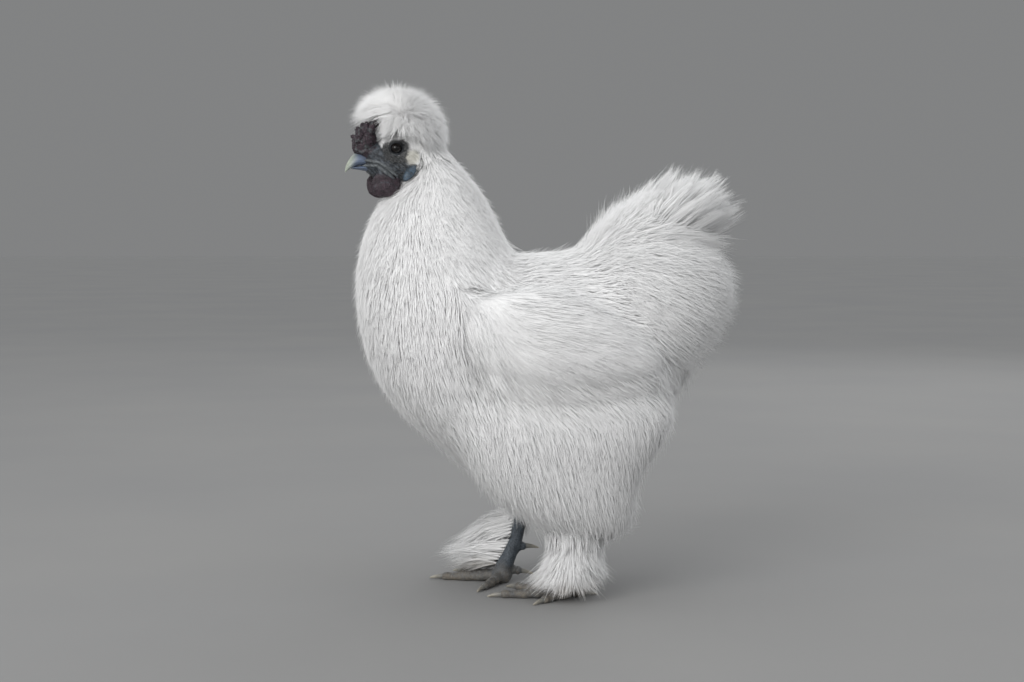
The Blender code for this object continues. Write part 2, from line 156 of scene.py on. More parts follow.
def lineGap(points, line):  # how far each point is from a line of stretches
    steps = [offLine(points, a, b)[1] for a, b in zip(line, line[1:])]
    return np.min([np.linalg.norm(step, axis=-1) for step in steps], axis=0)


def setValues(mesh, name, values):
    layer = mesh.attributes.new(name, "FLOAT", "POINT")
    layer.data.foreach_set("value", np.asarray(values, np.float32))


# Smooth random fields, the same on each run

def hashOf(cells, seed):
    mixed = (cells[..., 0] * 73856093) ^ (cells[..., 1] * 19349663) ^ (cells[..., 2] * 83492791)
    mixed = (mixed + seed * 2654435) & 0x7FFFFFFF
    mixed = (mixed ^ (mixed >> 13)) * 1274126177 & 0x7FFFFFFF
    return ((mixed ^ (mixed >> 16)) & 0xFFFF) / 65535.0


def softNoise(points, size, seed=0):  # 0 to 1, with lumps of that size
    scaled = points / size
    cell = np.floor(scaled).astype(np.int64)
    part = scaled - cell
    part = part * part * (3 - 2 * part)
    total = np.zeros(len(points))
    for corner in range(8):
        step = np.array([corner & 1, corner >> 1 & 1, corner >> 2 & 1])
        weight = np.prod(np.where(step, part, 1 - part), axis=-1)
        total += weight * hashOf(cell + step, seed)
    return total


def pebbles(points, size, seed=0):  # domes of that size, 1 at their tops and 0 in the creases
    scaled = points / size
    cell = np.floor(scaled).astype(np.int64)
    nearest = np.full(len(points), 9.0)
    second = np.full(len(points), 9.0)
    for dx in (-1, 0, 1):
        for dy in (-1, 0, 1):
            for dz in (-1, 0, 1):
                other = cell + np.array([dx, dy, dz])
                shift = np.stack([hashOf(other, seed + k) for k in (1, 2, 3)], axis=-1)
                gap = np.linalg.norm(other + 0.15 + 0.7 * shift - scaled, axis=-1)
                second = np.minimum(second, np.maximum(nearest, gap))
                nearest = np.minimum(nearest, gap)
    return smoothstep(0.0, 0.55, second - nearest)


# Forms as fields: negative inside, and the surface is where they are zero

farAway = 9e3  # millimetres, more than any form is off


def makeGrid(low, high, step):
    low, high = np.array(low, float), np.array(high, float)
    counts = np.ceil((high - low) / step).astype(int) + 1
    return {"low": low, "step": step, "counts": counts, "value": np.full(counts, farAway)}


def part(grid, low, high):  # the slices and the points of a box in the grid
    start = np.clip(((np.array(low) - grid["low"]) // grid["step"]).astype(int), 0, grid["counts"] - 1)
    stop = ((np.array(high) - grid["low"]) // grid["step"]).astype(int) + 2
    stop = np.clip(stop, start + 1, grid["counts"])
    axes = [grid["low"][k] + grid["step"] * np.arange(start[k], stop[k]) for k in range(3)]
    points = np.stack(np.meshgrid(*axes, indexing="ij"), axis=-1)
    return tuple(slice(a, b) for a, b in zip(start, stop)), points


def melt(a, b, soft):  # the two forms joined with a soft fillet
    if soft <= 0:
        return np.minimum(a, b)
    blend = np.maximum(soft - np.abs(a - b), 0) / soft
    return np.minimum(a, b) - blend * blend * soft / 4


def add(grid, form, soft=1.0, sign=1):
    low, high, field = form
    where, points = part(grid, np.array(low) - 2 * soft - 1, np.array(high) + 2 * soft + 1)
    grid["value"][where] = sign * melt(sign * grid["value"][where], field(points), soft)


def carve(grid, form, soft=0.3):
    add(grid, form, soft, -1)


def ball(centre, radii, pitch=0.0, roll=0.0):  # an ellipsoid, turned about Y and then about X
    centre, radii = np.array(centre, float), np.array(radii, float)
    c, s = math.cos(math.radians(pitch)), math.sin(math.radians(pitch))
    d, t = math.cos(math.radians(roll)), math.sin(math.radians(roll))
    turn = np.array([[1, 0, 0], [0, d, -t], [0, t, d]]) @ np.array([[c, 0, s], [0, 1, 0], [-s, 0, c]])
    reach = max(radii)

    def field(points):
        local = (points - centre) @ turn
        near = np.linalg.norm(local / radii, axis=-1)
        steep = np.linalg.norm(local / radii**2, axis=-1) + 1e-9
        return near * (near - 1) / steep
    return centre - reach, centre + reach, field


def tube(chain, radii):
    chain = np.array(chain, float)
    radii = np.broadcast_to(np.array(radii, float), (len(chain),))
    reach = radii.max()

    def field(points):
        nearest = np.full(points.shape[:-1], farAway)
        for k in range(len(chain) - 1):
            share, step = offLine(points, chain[k], chain[k + 1])
            away = np.linalg.norm(step, axis=-1)
            nearest = np.minimum(nearest, away - radii[k] - share * (radii[k + 1] - radii[k]))
        return nearest
    return chain.min(0) - reach, chain.max(0) + reach, field


def smoothRows(rows, count):  # the stations read as a smooth curve
    rows = np.array(rows, float)
    place = np.linspace(0, len(rows) - 1, count)
    start = np.minimum(place.astype(int), len(rows) - 2)
    share = (place - start)[:, None]
    a, b, c, d = (rows[np.clip(start + k, 0, len(rows) - 1)] for k in (-1, 0, 1, 2))
    return (b + 0.5 * share * (c - a) + share**2 * (a - 2.5 * b + 2 * c - 0.5 * d)
            + share**3 * (1.5 * (b - c) + 0.5 * (d - a)))


def loft(rows, fullness=2.1):  # along X: place, underside, top, half width
    table = smoothRows(rows, 120)
    table = table[np.argsort(table[:, 0])]
    low = (table[0, 0], -table[:, 3].max(), table[:, 1].min())
    high = (table[-1, 0], table[:, 3].max(), table[:, 2].max())

    def field(points):
        x = points[..., 0]
        under, top, half = (np.interp(x, table[:, 0], table[:, k]) for k in (1, 2, 3))
        tall = np.maximum((top - under) / 2, 0.2)
        up = np.abs(points[..., 2] - (top + under) / 2) / tall
        out = np.abs(points[..., 1]) / np.maximum(half, 0.2)
        ring = (up**fullness + out**fullness) ** (1 / fullness)
        side = (ring - 1) * np.minimum(tall, half)
        return np.maximum(side, np.maximum(table[0, 0] - x, x - table[-1, 0]))
    return low, high, field


def netSurface(grid):  # points and quads where the field changes sign
    value, step = grid["value"], grid["step"]
    inside = value < 0
    shape = np.array(value.shape) - 1
    total = np.zeros(shape, np.int8)
    offsets = [(i, j, k) for i in (0, 1) for j in (0, 1) for k in (0, 1)]
    for i, j, k in offsets:
        total += inside[i:shape[0] + i, j:shape[1] + j, k:shape[2] + k]
    mixed = (total > 0) & (total < 8)
    number = np.full(shape, -1, np.int64)
    cells = np.argwhere(mixed)
    number[mixed] = np.arange(len(cells))
    place, hits = np.zeros((len(cells), 3)), np.zeros(len(cells))
    for a in offsets:
        for axis in range(3):
            if a[axis]:
                continue
            b = np.array(a)
            b[axis] = 1
            first = value[tuple((cells + a).T)]
            last = value[tuple((cells + b).T)]
            crosses = (first < 0) != (last < 0)
            share = first[crosses] / (first[crosses] - last[crosses])
            point = np.tile(np.array(a, float), (crosses.sum(), 1))
            point[:, axis] = share
            place[crosses] += point
            hits[crosses] += 1
    points = grid["low"] + (cells + place / hits[:, None]) * step
    quads = []
    for axis in range(3):
        u, v = (axis + 1) % 3, (axis + 2) % 3
        front, back = [slice(None)] * 3, [slice(None)] * 3
        front[axis], back[axis] = slice(0, -1), slice(1, None)
        a, b = inside[tuple(front)], inside[tuple(back)]
        at = np.argwhere(a != b)
        at = at[(at[:, u] > 0) & (at[:, v] > 0) & (at[:, u] < shape[u]) & (at[:, v] < shape[v])]
        around = []
        for du, dv in ((-1, -1), (0, -1), (0, 0), (-1, 0)):
            cell = at.copy()
            cell[:, u] += du
            cell[:, v] += dv
            around.append(number[tuple(cell.T)])
        quad = np.stack(around, axis=-1)
        outward = a[tuple(at.T)]
        quads.append(np.where(outward[:, None], quad, quad[:, ::-1]))
    return points, np.concatenate(quads)


# The plumage's outline, from the frame

plumageNodes = ["crest", "neck", "breast", "trunk", "cushion", "tail", "wing_left", "wing_right",
                "thigh_left", "thigh_right", "leg_feathers_left", "leg_feathers_right"]
outline = {"closing": 0.0022, "soften": 9, "broad": 60, "broadShare": 0.62}


def treeOf(points, faces):
    return BVHTree.FromPolygons(points.tolist(), faces.tolist())


def buildOutline():  # trees of the closed outline, its broad forms and the plumage's nodes with their owners
    fleshNodes = ["head"] + [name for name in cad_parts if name.startswith(("shank", "toe"))]
    points, faces, owners, count = [], [], [], 0
    for number, name in enumerate(plumageNodes + fleshNodes):
        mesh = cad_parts[name].data
        corners = trianglesOf(mesh)
        points.append(pointsOf(mesh))
        faces.append(corners + count)
        owners.append(np.full(len(corners), number))
        count += len(mesh.vertices)
    points, faces, owners = np.concatenate(points), np.concatenate(faces), np.concatenate(owners)
    whole = addObject("outline", meshFrom("outline", points, faces))
    modify(whole, "REMESH", mode="VOXEL", voxel_size=outline["closing"])
    trees = []
    for rounds in (outline["soften"], outline["broad"]):
        modify(whole, "SMOOTH", iterations=rounds)
        mesh = finished(whole).data
        trees.append(treeOf(pointsOf(mesh), trianglesOf(mesh)))
    bpy.data.objects.remove(whole, do_unlink=True)
    return *trees, treeOf(points, faces[owners < len(plumageNodes)]), owners


outlineTree, broadTree, nodeTree, nodeOwners = buildOutline()
report("outline of the plumage")


def toOutline(points):  # nearest points, their normals, and how far outside each point is
    near, normals, out = np.empty((len(points), 3)), np.empty((len(points), 3)), np.empty(len(points))
    for k, point in enumerate(points.tolist()):
        place, normal, _, away = outlineTree.find_nearest(point)
        near[k], normals[k] = place, normal
        side = sum((a - b) * c for a, b, c in zip(point, place, normal))
        out[k] = away if side > 0 else -away
    return near, normals, out


def broadened(points, normals):  # normals eased towards the bird's broad forms
    broad = np.array([broadTree.find_nearest(point)[1] for point in points.tolist()])
    return unit(normals * (1 - outline["broadShare"]) + broad * outline["broadShare"])


def regionsOf(points):
    return np.array([nodeOwners[nodeTree.find_nearest(point)[2]] for point in points.tolist()])


# The head, in millimetres in its own frame, before it is turned to the bird's left

headPlan = {
    "nape": (-78.0, 0.0, 0.0), "turn": 16.0, "grain": 0.42,
    "low": (-141, -25, 262), "high": (-62, 25, 332), "joint": -64,  # its skin joins the body's there
    "skull": (  # along X: place, underside, top, half width
        (-123.6, 293.6, 298.6, 2.0), (-121.5, 288.5, 303.0, 6.0), (-116.5, 284.6, 306.0, 9.3),
        (-108.5, 281.0, 310.5, 12.4), (-99.0, 279.6, 315.0, 14.2), (-88.5, 279.4, 317.5, 15.0),
        (-78.0, 282.4, 317.5, 14.0), (-71.0, 288.4, 313.0, 10.0), (-68.0, 294.0, 307.0, 5.0),
    ),
    "cheek": (-106.0, 8.5, 289.0), "cheekSize": (9.0, 5.2, 7.0),
    "lore": (-115.0, 6.0, 299.5), "loreSize": (6.5, 4.2, 4.6),  # between the bill and the eye
    "eye": (-102.7, 11.2, 303.0), "eyeRadius": 4.1, "lidOpening": (3.35, 2.75), "lidThick": 0.75,
    "comb": (-122.6, 0.0, 308.6), "combLean": 31.0,
    "wattle": (-109.2, 9.2, 279.2), "lobe": (-94.1, 14.0, 286.5),
}
faceLines = {  # x and z from the side; each one is laid on the face
    "upperFold": ((-125.0, 294.9), (-119.5, 294.6), (-114.5, 293.4), (-108.8, 289.6), (-104.0, 285.8),
                  (-100.5, 283.2)),
    "lowerFold": ((-123.4, 291.6), (-119.5, 291.5), (-115.2, 291.2), (-110.0, 287.0), (-105.0, 283.2),
                  (-101.0, 281.2)),
    "mouth": ((-124.5, 293.1), (-119.5, 293.0), (-115.0, 292.3), (-109.4, 288.3), (-104.6, 284.5),
              (-101.5, 282.6)),
    "brow": ((-108.5, 306.6), (-104.5, 308.4), (-100.0, 308.9), (-95.5, 307.2)),
}
nape = np.array(headPlan["nape"])


def headTurn(way):  # 1 turns the head to the bird's left, -1 turns it back
    angle = math.radians(headPlan["turn"])
    c, s = math.cos(angle), way * math.sin(angle)
    return np.array([[c, s, 0], [-s, c, 0], [0, 0, 1]])


def headToWorld(points):  # millimetres in the head's frame to metres in the room
    return (nape + (points - nape) @ headTurn(1)) / 1000


def worldToHead(points):
    return nape + (points * 1000 - nape) @ headTurn(-1)


skullForm = loft(headPlan["skull"])
cheekForms = (ball(headPlan["cheek"], headPlan["cheekSize"]), ball(headPlan["lore"], headPlan["loreSize"]))


def outOnFace(line):  # how far out the side of the face is along a line, cheeks and all
    outs = np.arange(21.0, 0.5, -0.1)
    places = []
    for x, z in line:
        column = np.stack([np.full(len(outs), x), outs, np.full(len(outs), z)], axis=-1)
        inside = np.min([form[2](column) for form in (skullForm, *cheekForms)], axis=0) < 0
        places.append(outs[np.argmax(inside)] if inside.any() else 2.5)
    return places


faceOuts = {name: outOnFace(line) for name, line in faceLines.items()}


def lineOnFace(name, side, lift):
    return [(x, side * (y + lift), z) for (x, z), y in zip(faceLines[name], faceOuts[name])]


def combForms():  # a cushion of flesh set with rows of blunt points, longer to the back
    centre = np.array(headPlan["comb"])
    lean = math.radians(headPlan["combLean"])
    forward = np.array([-math.cos(lean), 0, math.sin(lean)])
    upward = np.array([math.sin(lean), 0, math.cos(lean)])
    forms = [(ball(centre + (0.5, 0, -1.4), (7.6, 8.6, 10.0), headPlan["combLean"]), 1.6)]
    for side in (-1, 1):  # the swollen rim over the bill
        rim = [(-128.2, 3.2, 302.2), (-124.0, 5.6, 300.9), (-119.0, 6.9, 300.8), (-115.4, 7.2, 302.6)]
        forms.append((tube(np.array(rim) * (1, side, 1), (1.3, 1.8, 1.9, 1.4)), 0.8))
    shapes = np.random.default_rng(5)
    for row, sideways in enumerate((-6.6, -2.6, 2.4, 6.4)):
        for k in range(5):
            share = k / 4
            angle = math.radians(-42 + 128 * share + shapes.uniform(-7, 7) + 8 * (row % 2))
            out = math.cos(angle) * forward + math.sin(angle) * upward
            root = centre + out * 3.0 + (0, sideways * 0.75, 0)
            reach = 6.4 + 5.9 * share**1.6 + shapes.uniform(-0.8, 0.8) - 0.016 * sideways**2
            tip = root + out * (reach - 3.0) + (0, sideways * 0.30, 0) + upward * share * 1.0
            size = 1.75 + 0.45 * shapes.random() + 0.45 * share
            forms.append((tube([root, (root + tip) / 2, tip], (size, size * 1.15, size * 0.72)), 0.55))
    return forms


def lidForms(side):  # a ring of small tubes round the eye, thicker above
    x, y, z = headPlan["eye"]
    wide, tall = headPlan["lidOpening"]
    thick = headPlan["lidThick"]
    upper, lower = [], []
    for k in range(13):
        turn = math.pi * k / 12
        for chain, way in ((upper, 1), (lower, -1)):
            dx, dz = (wide + thick) * math.cos(turn), way * (tall + thick) * math.sin(turn)
            out = math.sqrt(max(headPlan["eyeRadius"] ** 2 - dx * dx * 0.9 - dz * dz * 0.9, 0.5)) - 0.15
            chain.append((x + dx, side * (y + out + 0.10 * dx), z + dz - 0.12 * dx))
    return [(tube(upper, thick * 1.15), 0.35), (tube(lower, thick * 0.9), 0.35)]


def headForms(side):  # the forms on one side of the head, and how softly each one joins
    def spot(name, x=0.0, y=0.0, z=0.0):
        place = headPlan[name]
        return place[0] + x, side * (place[1] + y), place[2] + z

    return {
        "cheek": (ball(spot("cheek"), headPlan["cheekSize"]), 3.0),
        "lore": (ball(spot("lore"), headPlan["loreSize"]), 2.5),
        "brow": (tube(lineOnFace("brow", side, -0.4), (0.9, 1.3, 1.3, 0.9)), 1.8),
        "upperFold": (tube(lineOnFace("upperFold", side, 0.3), (0.7, 0.95, 1.0, 1.05, 0.95, 0.6)), 0.8),
        "lowerFold": (tube(lineOnFace("lowerFold", side, 0.35), (0.6, 0.8, 0.95, 1.0, 0.9, 0.6)), 0.8),
        "nostrilFlap": (ball((-121.6, side * 4.3, 299.0), (3.3, 2.3, 2.2), 20), 0.8),
        "wattle": (ball(spot("wattle"), (9.9, 2.9, 9.2), 0, -side * 10), 1.6),
        "wattleEnd": (ball(spot("wattle", -1.0, 0.9, -3.6), (7.6, 2.9, 5.2), 0, -side * 14), 1.5),
        "lobe": (ball(spot("lobe"), (6.9, 1.9, 3.3), -50), 1.2),
    }


def buildHead():
    grid = makeGrid(headPlan["low"], headPlan["high"], headPlan["grain"])
    add(grid, loft(headPlan["skull"]), 0.0)
    add(grid, ball((-104.0, 0.0, 281.0), (12.0, 7.5, 7.5)), 3.0)  # throat
    for side in (-1, 1):
        for form, soft in headForms(side).values():
            add(grid, form, soft)
        x, y, z = headPlan["eye"]
        carve(grid, ball((x, side * 16.2, z), (7.4, 3.3, 5.2)), 1.6)  # hollow round the eye
        carve(grid, tube(lineOnFace("mouth", side, 0.9), (0.35, 0.5, 0.65, 0.7, 0.6, 0.3)), 0.4)
        carve(grid, tube([(-124.6, side * 5.9, 298.0), (-122.4, side * 6.6, 298.3)], 0.42), 0.3)  # nostril
        for form, soft in lidForms(side):
            add(grid, form, soft)
        carve(grid, ball((x, side * y, z), (headPlan["eyeRadius"] + 0.08,) * 3), 0.0)
    for form, soft in combForms():
        add(grid, form, soft)
    return netSurface(grid)


def masksOnHead(local):  # how much each point, in the head's frame, belongs to each kind of skin
    comb = smoothstep(0.7, -0.2, np.min([form[2](local) for form, _ in combForms()], axis=0))
    flap, wattle, lobe, heart, fold, socket = np.zeros((6, len(local)))
    for side in (-1, 1):
        forms = headForms(side)
        off = {name: form[2](local) for name, (form, _) in forms.items()}
        flap = np.maximum(flap, smoothstep(0.6, 0.0, off["nostrilFlap"]))
        hanging = smoothstep(0.7, -0.1, np.minimum(off["wattle"], off["wattleEnd"]))
        wattle = np.maximum(wattle, hanging * smoothstep(287.5, 284.0, local[:, 2]))
        lobe = np.maximum(lobe, smoothstep(0.6, 0.0, off["lobe"]))
        # lobeHeart: the lobe's swollen middle, painted paler than its rim, which has painted shade
        inLobe = forms["lobe"][0][2](local - (0, side * 1.2, 0))
        heart = np.maximum(heart, smoothstep(-0.4, -1.5, inLobe))
        ridge = np.minimum(off["upperFold"], off["lowerFold"])
        fold = np.maximum(fold, smoothstep(0.35, -0.15, ridge) * (local[:, 1] * side > 0))
        # socketTone: painted shade along the groove of the gape, and darker skin round the eye
        gape = tube(lineOnFace("mouth", side, 0.5), 0.5)[2](local)
        socket = np.maximum(socket, 0.6 * smoothstep(0.45, -0.15, gape))
        away = (local - np.array(headPlan["eye"]) * (1, side, 1) - (0.4, 0, 0.6)) / (9.4, 9.0, 6.2)
        socket = np.maximum(socket, smoothstep(1.12, 0.62, np.linalg.norm(away, axis=-1)))
    return {"combTone": np.maximum(comb, 0.75 * flap), "wattleTone": wattle * (1 - lobe), "lobeTone": lobe,
            "foldTone": fold * (1 - comb), "socketTone": socket, "lobeHeart": heart * lobe}


def faceCreases(points):  # 0 in the fine creases of the face, which run back and down from the gape
    slope = np.stack([points[:, 0] * 0.80 - points[:, 2] * 0.60, points[:, 1],
                      points[:, 0] * 0.60 + points[:, 2] * 0.80], axis=-1)
    wavy = slope + 1.6 * (softNoise(points, 4.5, 11)[:, None] - 0.5)
    lines = np.abs(softNoise(wavy / (4.2, 2.2, 1.15), 1.0, 4) - 0.5) * 2
    across = np.abs(softNoise(wavy / (1.7, 1.7, 2.6), 1.0, 9) - 0.5) * 2
    return np.minimum(smoothstep(0.0, 0.62, lines), 0.45 + 0.55 * smoothstep(0.0, 0.5, across))


def wrinkleHead(points, normals):
    masks = masksOnHead(points)
    comb, wattle, lobe = (masks[name] for name in ("combTone", "wattleTone", "lobeTone"))
    fleshy = np.maximum(comb, wattle)
    hanging = points * (1.5, 1.0, 0.62)  # the wattles' wrinkles hang
    grain = np.where(wattle > comb, 0.34 * (pebbles(hanging, 1.9, 3) - 0.6),
                     0.46 * (pebbles(points, 1.75, 3) - 0.6)) + 0.16 * (pebbles(points, 0.95, 8) - 0.6)
    fine = pebbles(points * (0.7, 1.0, 1.3), 1.25, 21)
    face = 0.46 * (faceCreases(points) - 0.6) + 0.13 * (fine - 0.6)
    lobeWaves = 0.40 * (faceCreases(points * 1.3 + 7) - 0.5)
    depth = fleshy * grain + (1 - fleshy) * ((1 - lobe) * face + lobe * lobeWaves)
    eyeGap = np.min([np.linalg.norm(points - np.array(headPlan["eye"]) * (1, side, 1), axis=-1)
                     for side in (-1, 1)], axis=0)
    depth *= smoothstep(4.2, 6.0, eyeGap)
    return points + normals * depth[:, None]


# The legs, in millimetres: shanks and toes from root to tip, as in the frame

claw = {"length": 10.5, "thick": 1.8, "sides": 12, "rings": 9}
toePlan = {"thick": 3.7, "thinner": 0.28, "pads": 0.4, "shankRadii": (5.2, 4.7, 4.3, 4.8, 6.0, 6.6, 5.6)}
leftLeg = {
    "shank": ((24, -31, 70), (22.5, -30.5, 46), (20.5, -30, 31), (17, -29, 19), (14, -28, 10),
              (13, -27.5, 5)),
    "toes": {
        "inner": ((12, -26, 4.8), (-25, 8, 0)), "middle": ((10, -28, 5), (-37.8, -24.5, 0)),
        "outer": ((12, -30, 4.8), (-7, -50.5, 0)), "hind": ((16, -26, 6), (37, -15, 0)),
        "fifth": ((17, -28, 19), (36, -10, 25)),
    },
}
rightLeg = {
    "shank": ((-13, 30, 75), (-15.2, 28, 46), (-17.8, 27, 31), (-22.5, 26.5, 20), (-26.8, 26, 11),
              (-28.5, 26, 5)),
    "toes": {
        "inner": ((-29, 24, 6), (-45, -9.5, 0)), "middle": ((-30, 27, 5.2), (-79.7, 38, 0)),
        "outer": ((-29, 29, 4.8), (-64, 64, 0)), "hind": ((-26, 27, 12.5), (-5.5, 31, 8)),
        "fifth": ((-22, 27, 22), (-2, 30, 25.5)),
    },
}


def toeChain(root, tip, count=9):  # centres and radii from the root to the toe's blunt end
    root, tip = np.array(root, float), np.array(tip, float)
    ahead = np.array([tip[0] - root[0], tip[1] - root[1], 0.0])
    clawShare = (claw["length"] + 1.4) / np.linalg.norm(ahead)
    endHeight = tip[2] if tip[2] > 0 else 2.4
    centres, radii = [], []
    for k in range(count):
        share = k / (count - 1)
        centre = root + ahead * share * (1 - clawShare)
        centre[2] += (endHeight - root[2]) * math.sin(share * math.pi / 2)
        pads = toePlan["pads"] * math.cos(6 * math.pi * share)
        centres.append(centre)
        radii.append(toePlan["thick"] * (1 - toePlan["thinner"] * share) + pads)
    return centres, radii


def legForms(leg):
    hub = leg["shank"][-1]
    rows = [tube(leg["shank"], toePlan["shankRadii"][:len(leg["shank"])])]
    rows.append(ball((hub[0], hub[1], 5.2), (7.4, 7.2, 5.0)))
    return rows + [tube(*toeChain(*ends)) for ends in leg["toes"].values()]


def buildLeg(leg):
    chains = [leg["shank"], *leg["toes"].values()]
    spots = np.array([point for chain in chains for point in chain], float)
    low, high = spots.min(0) - 9, spots.max(0) + 9
    low[2] = -1.2
    grid = makeGrid(low, high, 0.52)
    for form in legForms(leg):
        add(grid, form, 1.6)
    where, points = part(grid, low, high)
    ground = 0.12 - points[..., 2]  # the pads are pressed flat on the ground
    grid["value"][where] = -melt(-grid["value"][where], -ground, 0.6)
    return netSurface(grid)


def scaleLeg(points, normals, leg):  # plates along the fronts and tops, grains elsewhere
    nearest = np.full(len(points), farAway)
    above, place = np.zeros(len(points)), np.zeros(len(points))
    chains = [np.array(leg["shank"], float)] + [np.array(toeChain(*ends)[0]) for ends in leg["toes"].values()]
    for number, chain in enumerate(chains):
        walked = 0.0
        for a, b in zip(chain, chain[1:]):
            length = np.linalg.norm(b - a)
            share, out = offLine(points, a, b)
            away = np.linalg.norm(out, axis=-1)
            better = away < nearest
            nearest[better] = away[better]
            place[better] = (walked + share * length)[better]
            front = out[:, 2] if number else -out[:, 0]
            above[better] = (front / np.maximum(away, 1e-6))[better]
            walked += length
    plates = (place / 2.3) % 1.0
    steps = 0.30 * (np.sqrt(np.clip(1 - (2 * plates - 1) ** 2, 0, 1)) - 0.65)
    grain = 0.26 * (pebbles(points, 1.35, 17) - 0.6)
    onTop = smoothstep(0.15, 0.55, above)
    flat = smoothstep(0.3, 1.2, points[:, 2])
    return points + normals * ((onTop * steps + (1 - onTop) * grain) * flat)[:, None]


# The body's skin lies inside the plumage's outline by the depth of the coat there

coatDepth = {  # millimetres
    "crest": 8.0, "neck": 4.8, "breast": 5.0, "trunk": 5.0, "cushion": 7.5, "tail": 21.0,
    "wing_left": 4.4, "wing_right": 4.4, "thigh_left": 5.6, "thigh_right": 5.6,
    "leg_feathers_left": 7.5, "leg_feathers_right": 6.5,
}
bodyGrid = {"step": 3.0, "coarser": 3, "near": 5.0}  # only near the outline is each point measured
wingFront = {"from": 0.006, "to": -0.050, "sunk": 0.0064}  # where the wing sinks into the breast's plumage


def wingSinks(x):
    return wingFront["sunk"] * smoothstep(wingFront["from"], wingFront["to"], x)


def blurred(values, rounds):
    for _ in range(rounds):
        for axis in range(3):
            padded = np.pad(values, [(1, 1) if k == axis else (0, 0) for k in range(3)], mode="edge")
            before = np.take(padded, range(0, values.shape[axis]), axis)
            after = np.take(padded, range(2, values.shape[axis] + 2), axis)
            values = values * 0.5 + (before + after) * 0.25
    return values


def stretched(values, shape, times):  # a coarse grid's values on the full grid
    for axis in range(3):
        places = np.minimum(np.arange(shape[axis]) / times, values.shape[axis] - 1.001)
        start = places.astype(int)
        share = (places - start).reshape([-1 if k == axis else 1 for k in range(3)])
        values = np.take(values, start, axis) * (1 - share) + np.take(values, start + 1, axis) * share
    return values


def buildBody():
    low, high = np.array(cadBox[0]) * 1000 - 6, np.array(cadBox[1]) * 1000 + 12
    grid = makeGrid(low, high, bodyGrid["step"])
    _, points = part(grid, low, high)
    shape, every = points.shape[:3], slice(None, None, bodyGrid["coarser"])
    coarse = points[every, every, every]
    spots = coarse.reshape(-1, 3) / 1000
    rough = toOutline(spots)[2].reshape(coarse.shape[:3]) * 1000
    out = stretched(rough, shape, bodyGrid["coarser"])
    near = out < bodyGrid["near"]
    out[near] = toOutline(points[near] / 1000)[2] * 1000
    depths = np.array([coatDepth[name] for name in plumageNodes])
    regions = regionsOf(spots).reshape(coarse.shape[:3])
    onWing = np.isin(regions, [plumageNodes.index("wing_left"), plumageNodes.index("wing_right")])
    depth = depths[regions] + 1000 * wingSinks(coarse[..., 0] / 1000) * onWing
    grid["value"] = blurred(out, 1) + stretched(blurred(depth, 1), shape, bodyGrid["coarser"])
    return netSurface(grid)


def largestPart(mesh):  # leaves the largest connected piece
    form = bmesh.new()
    form.from_mesh(mesh)
    seen, best = set(), []
    for vertex in form.verts:
        if vertex in seen:
            continue
        piece, queue = [], [vertex]
        seen.add(vertex)
        while queue:
            here = queue.pop()
            piece.append(here)
            for edge in here.link_edges:
                other = edge.other_vert(here)
                if other not in seen:
                    seen.add(other)
                    queue.append(other)
        if len(piece) > len(best):
            best = piece
    keep = set(best)
    bmesh.ops.delete(form, geom=[v for v in form.verts if v not in keep], context="VERTS")
    form.to_mesh(mesh)
    form.free()
    return mesh


def addToSkin(name, surface, relief, toRoom):  # relief moves the points along their own normals
    points, quads = surface
    mesh = meshFrom(name, points, quads)
    setPoints(mesh, relief(points, normalsOf(mesh)))
    setPoints(mesh, toRoom(pointsOf(mesh)))
    report(f"{name}, {len(mesh.polygons)} faces")
    return addObject(name, mesh)


def buildSkin():
    points, quads = buildBody()
    body = addObject("skin", largestPart(meshFrom("skin", points / 1000, quads)))
    report(f"body skin, {len(body.data.polygons)} faces")
    joined = [addToSkin("skinHead", buildHead(), wrinkleHead, headToWorld)]
    for name, leg in (("skinLegLeft", leftLeg), ("skinLegRight", rightLeg)):
        joined.append(addToSkin(name, buildLeg(leg), lambda p, n: scaleLeg(p, n, leg), lambda p: p / 1000))
    for other in joined:
        modify(body, "BOOLEAN", operation="UNION", solver="MANIFOLD", object=other)
    finished(body)
    for other in joined:
        bpy.data.objects.remove(other, do_unlink=True)
    body.data.shade_smooth()
    return body


skin = buildSkin()
report(f"one skin, {len(skin.data.polygons)} faces")


# Which parts of the skin are bare, in the head's own frame from the side

bareFace = (
    (-87.5, 291.5), (-91.0, 288.0), (-98.3, 280.8), (-101.5, 276.5), (-108.0, 270.5), (-117.5, 266.0),
    (-145.0, 258.0), (-145.0, 306.0), (-131.0, 315.0), (-127.0, 320.0), (-118.0, 323.0), (-113.6, 319.5),
    (-113.6, 308.0), (-111.8, 303.5), (-108.2, 306.6), (-99.3, 308.0), (-96.0, 306.4), (-96.6, 301.0),
    (-98.0, 297.0), (-95.5, 293.0), (-91.0, 292.2),
)
earPatch = {"centre": (-92.3, 297.0), "size": (6.0, 5.6)}


def insideLoop(x, z, corners):
    inside = np.zeros(len(x), bool)
    for (ax, az), (bx, bz) in zip(corners, corners[1:] + corners[:1]):
        crosses = ((az > z) != (bz > z))
        inside ^= crosses & (x < (bx - ax) * (z - az) / (bz - az + 1e-12) + ax)
    return inside


def loopGap(x, z, corners):
    return lineGap(np.stack([x, z], axis=-1), corners + corners[:1])


def dustAt(points):  # how dusty the plumage is, near the ground
    patchy = softNoise(points * 1000, 7.0, 51)
    return smoothstep(0.017, 0.001, points[:, 2] + 0.010 * (patchy - 0.5)) * (0.30 + 0.70 * patchy)


def creamAt(points):  # the cream feathers over the ear, and a trace round the eye
    local = worldToHead(points)
    away = np.hypot((local[:, 0] - earPatch["centre"][0]) / earPatch["size"][0],
                    (local[:, 2] - earPatch["centre"][1]) / earPatch["size"][1])
    return smoothstep(1.15, 0.55, away) * (local[:, 2] > 285)


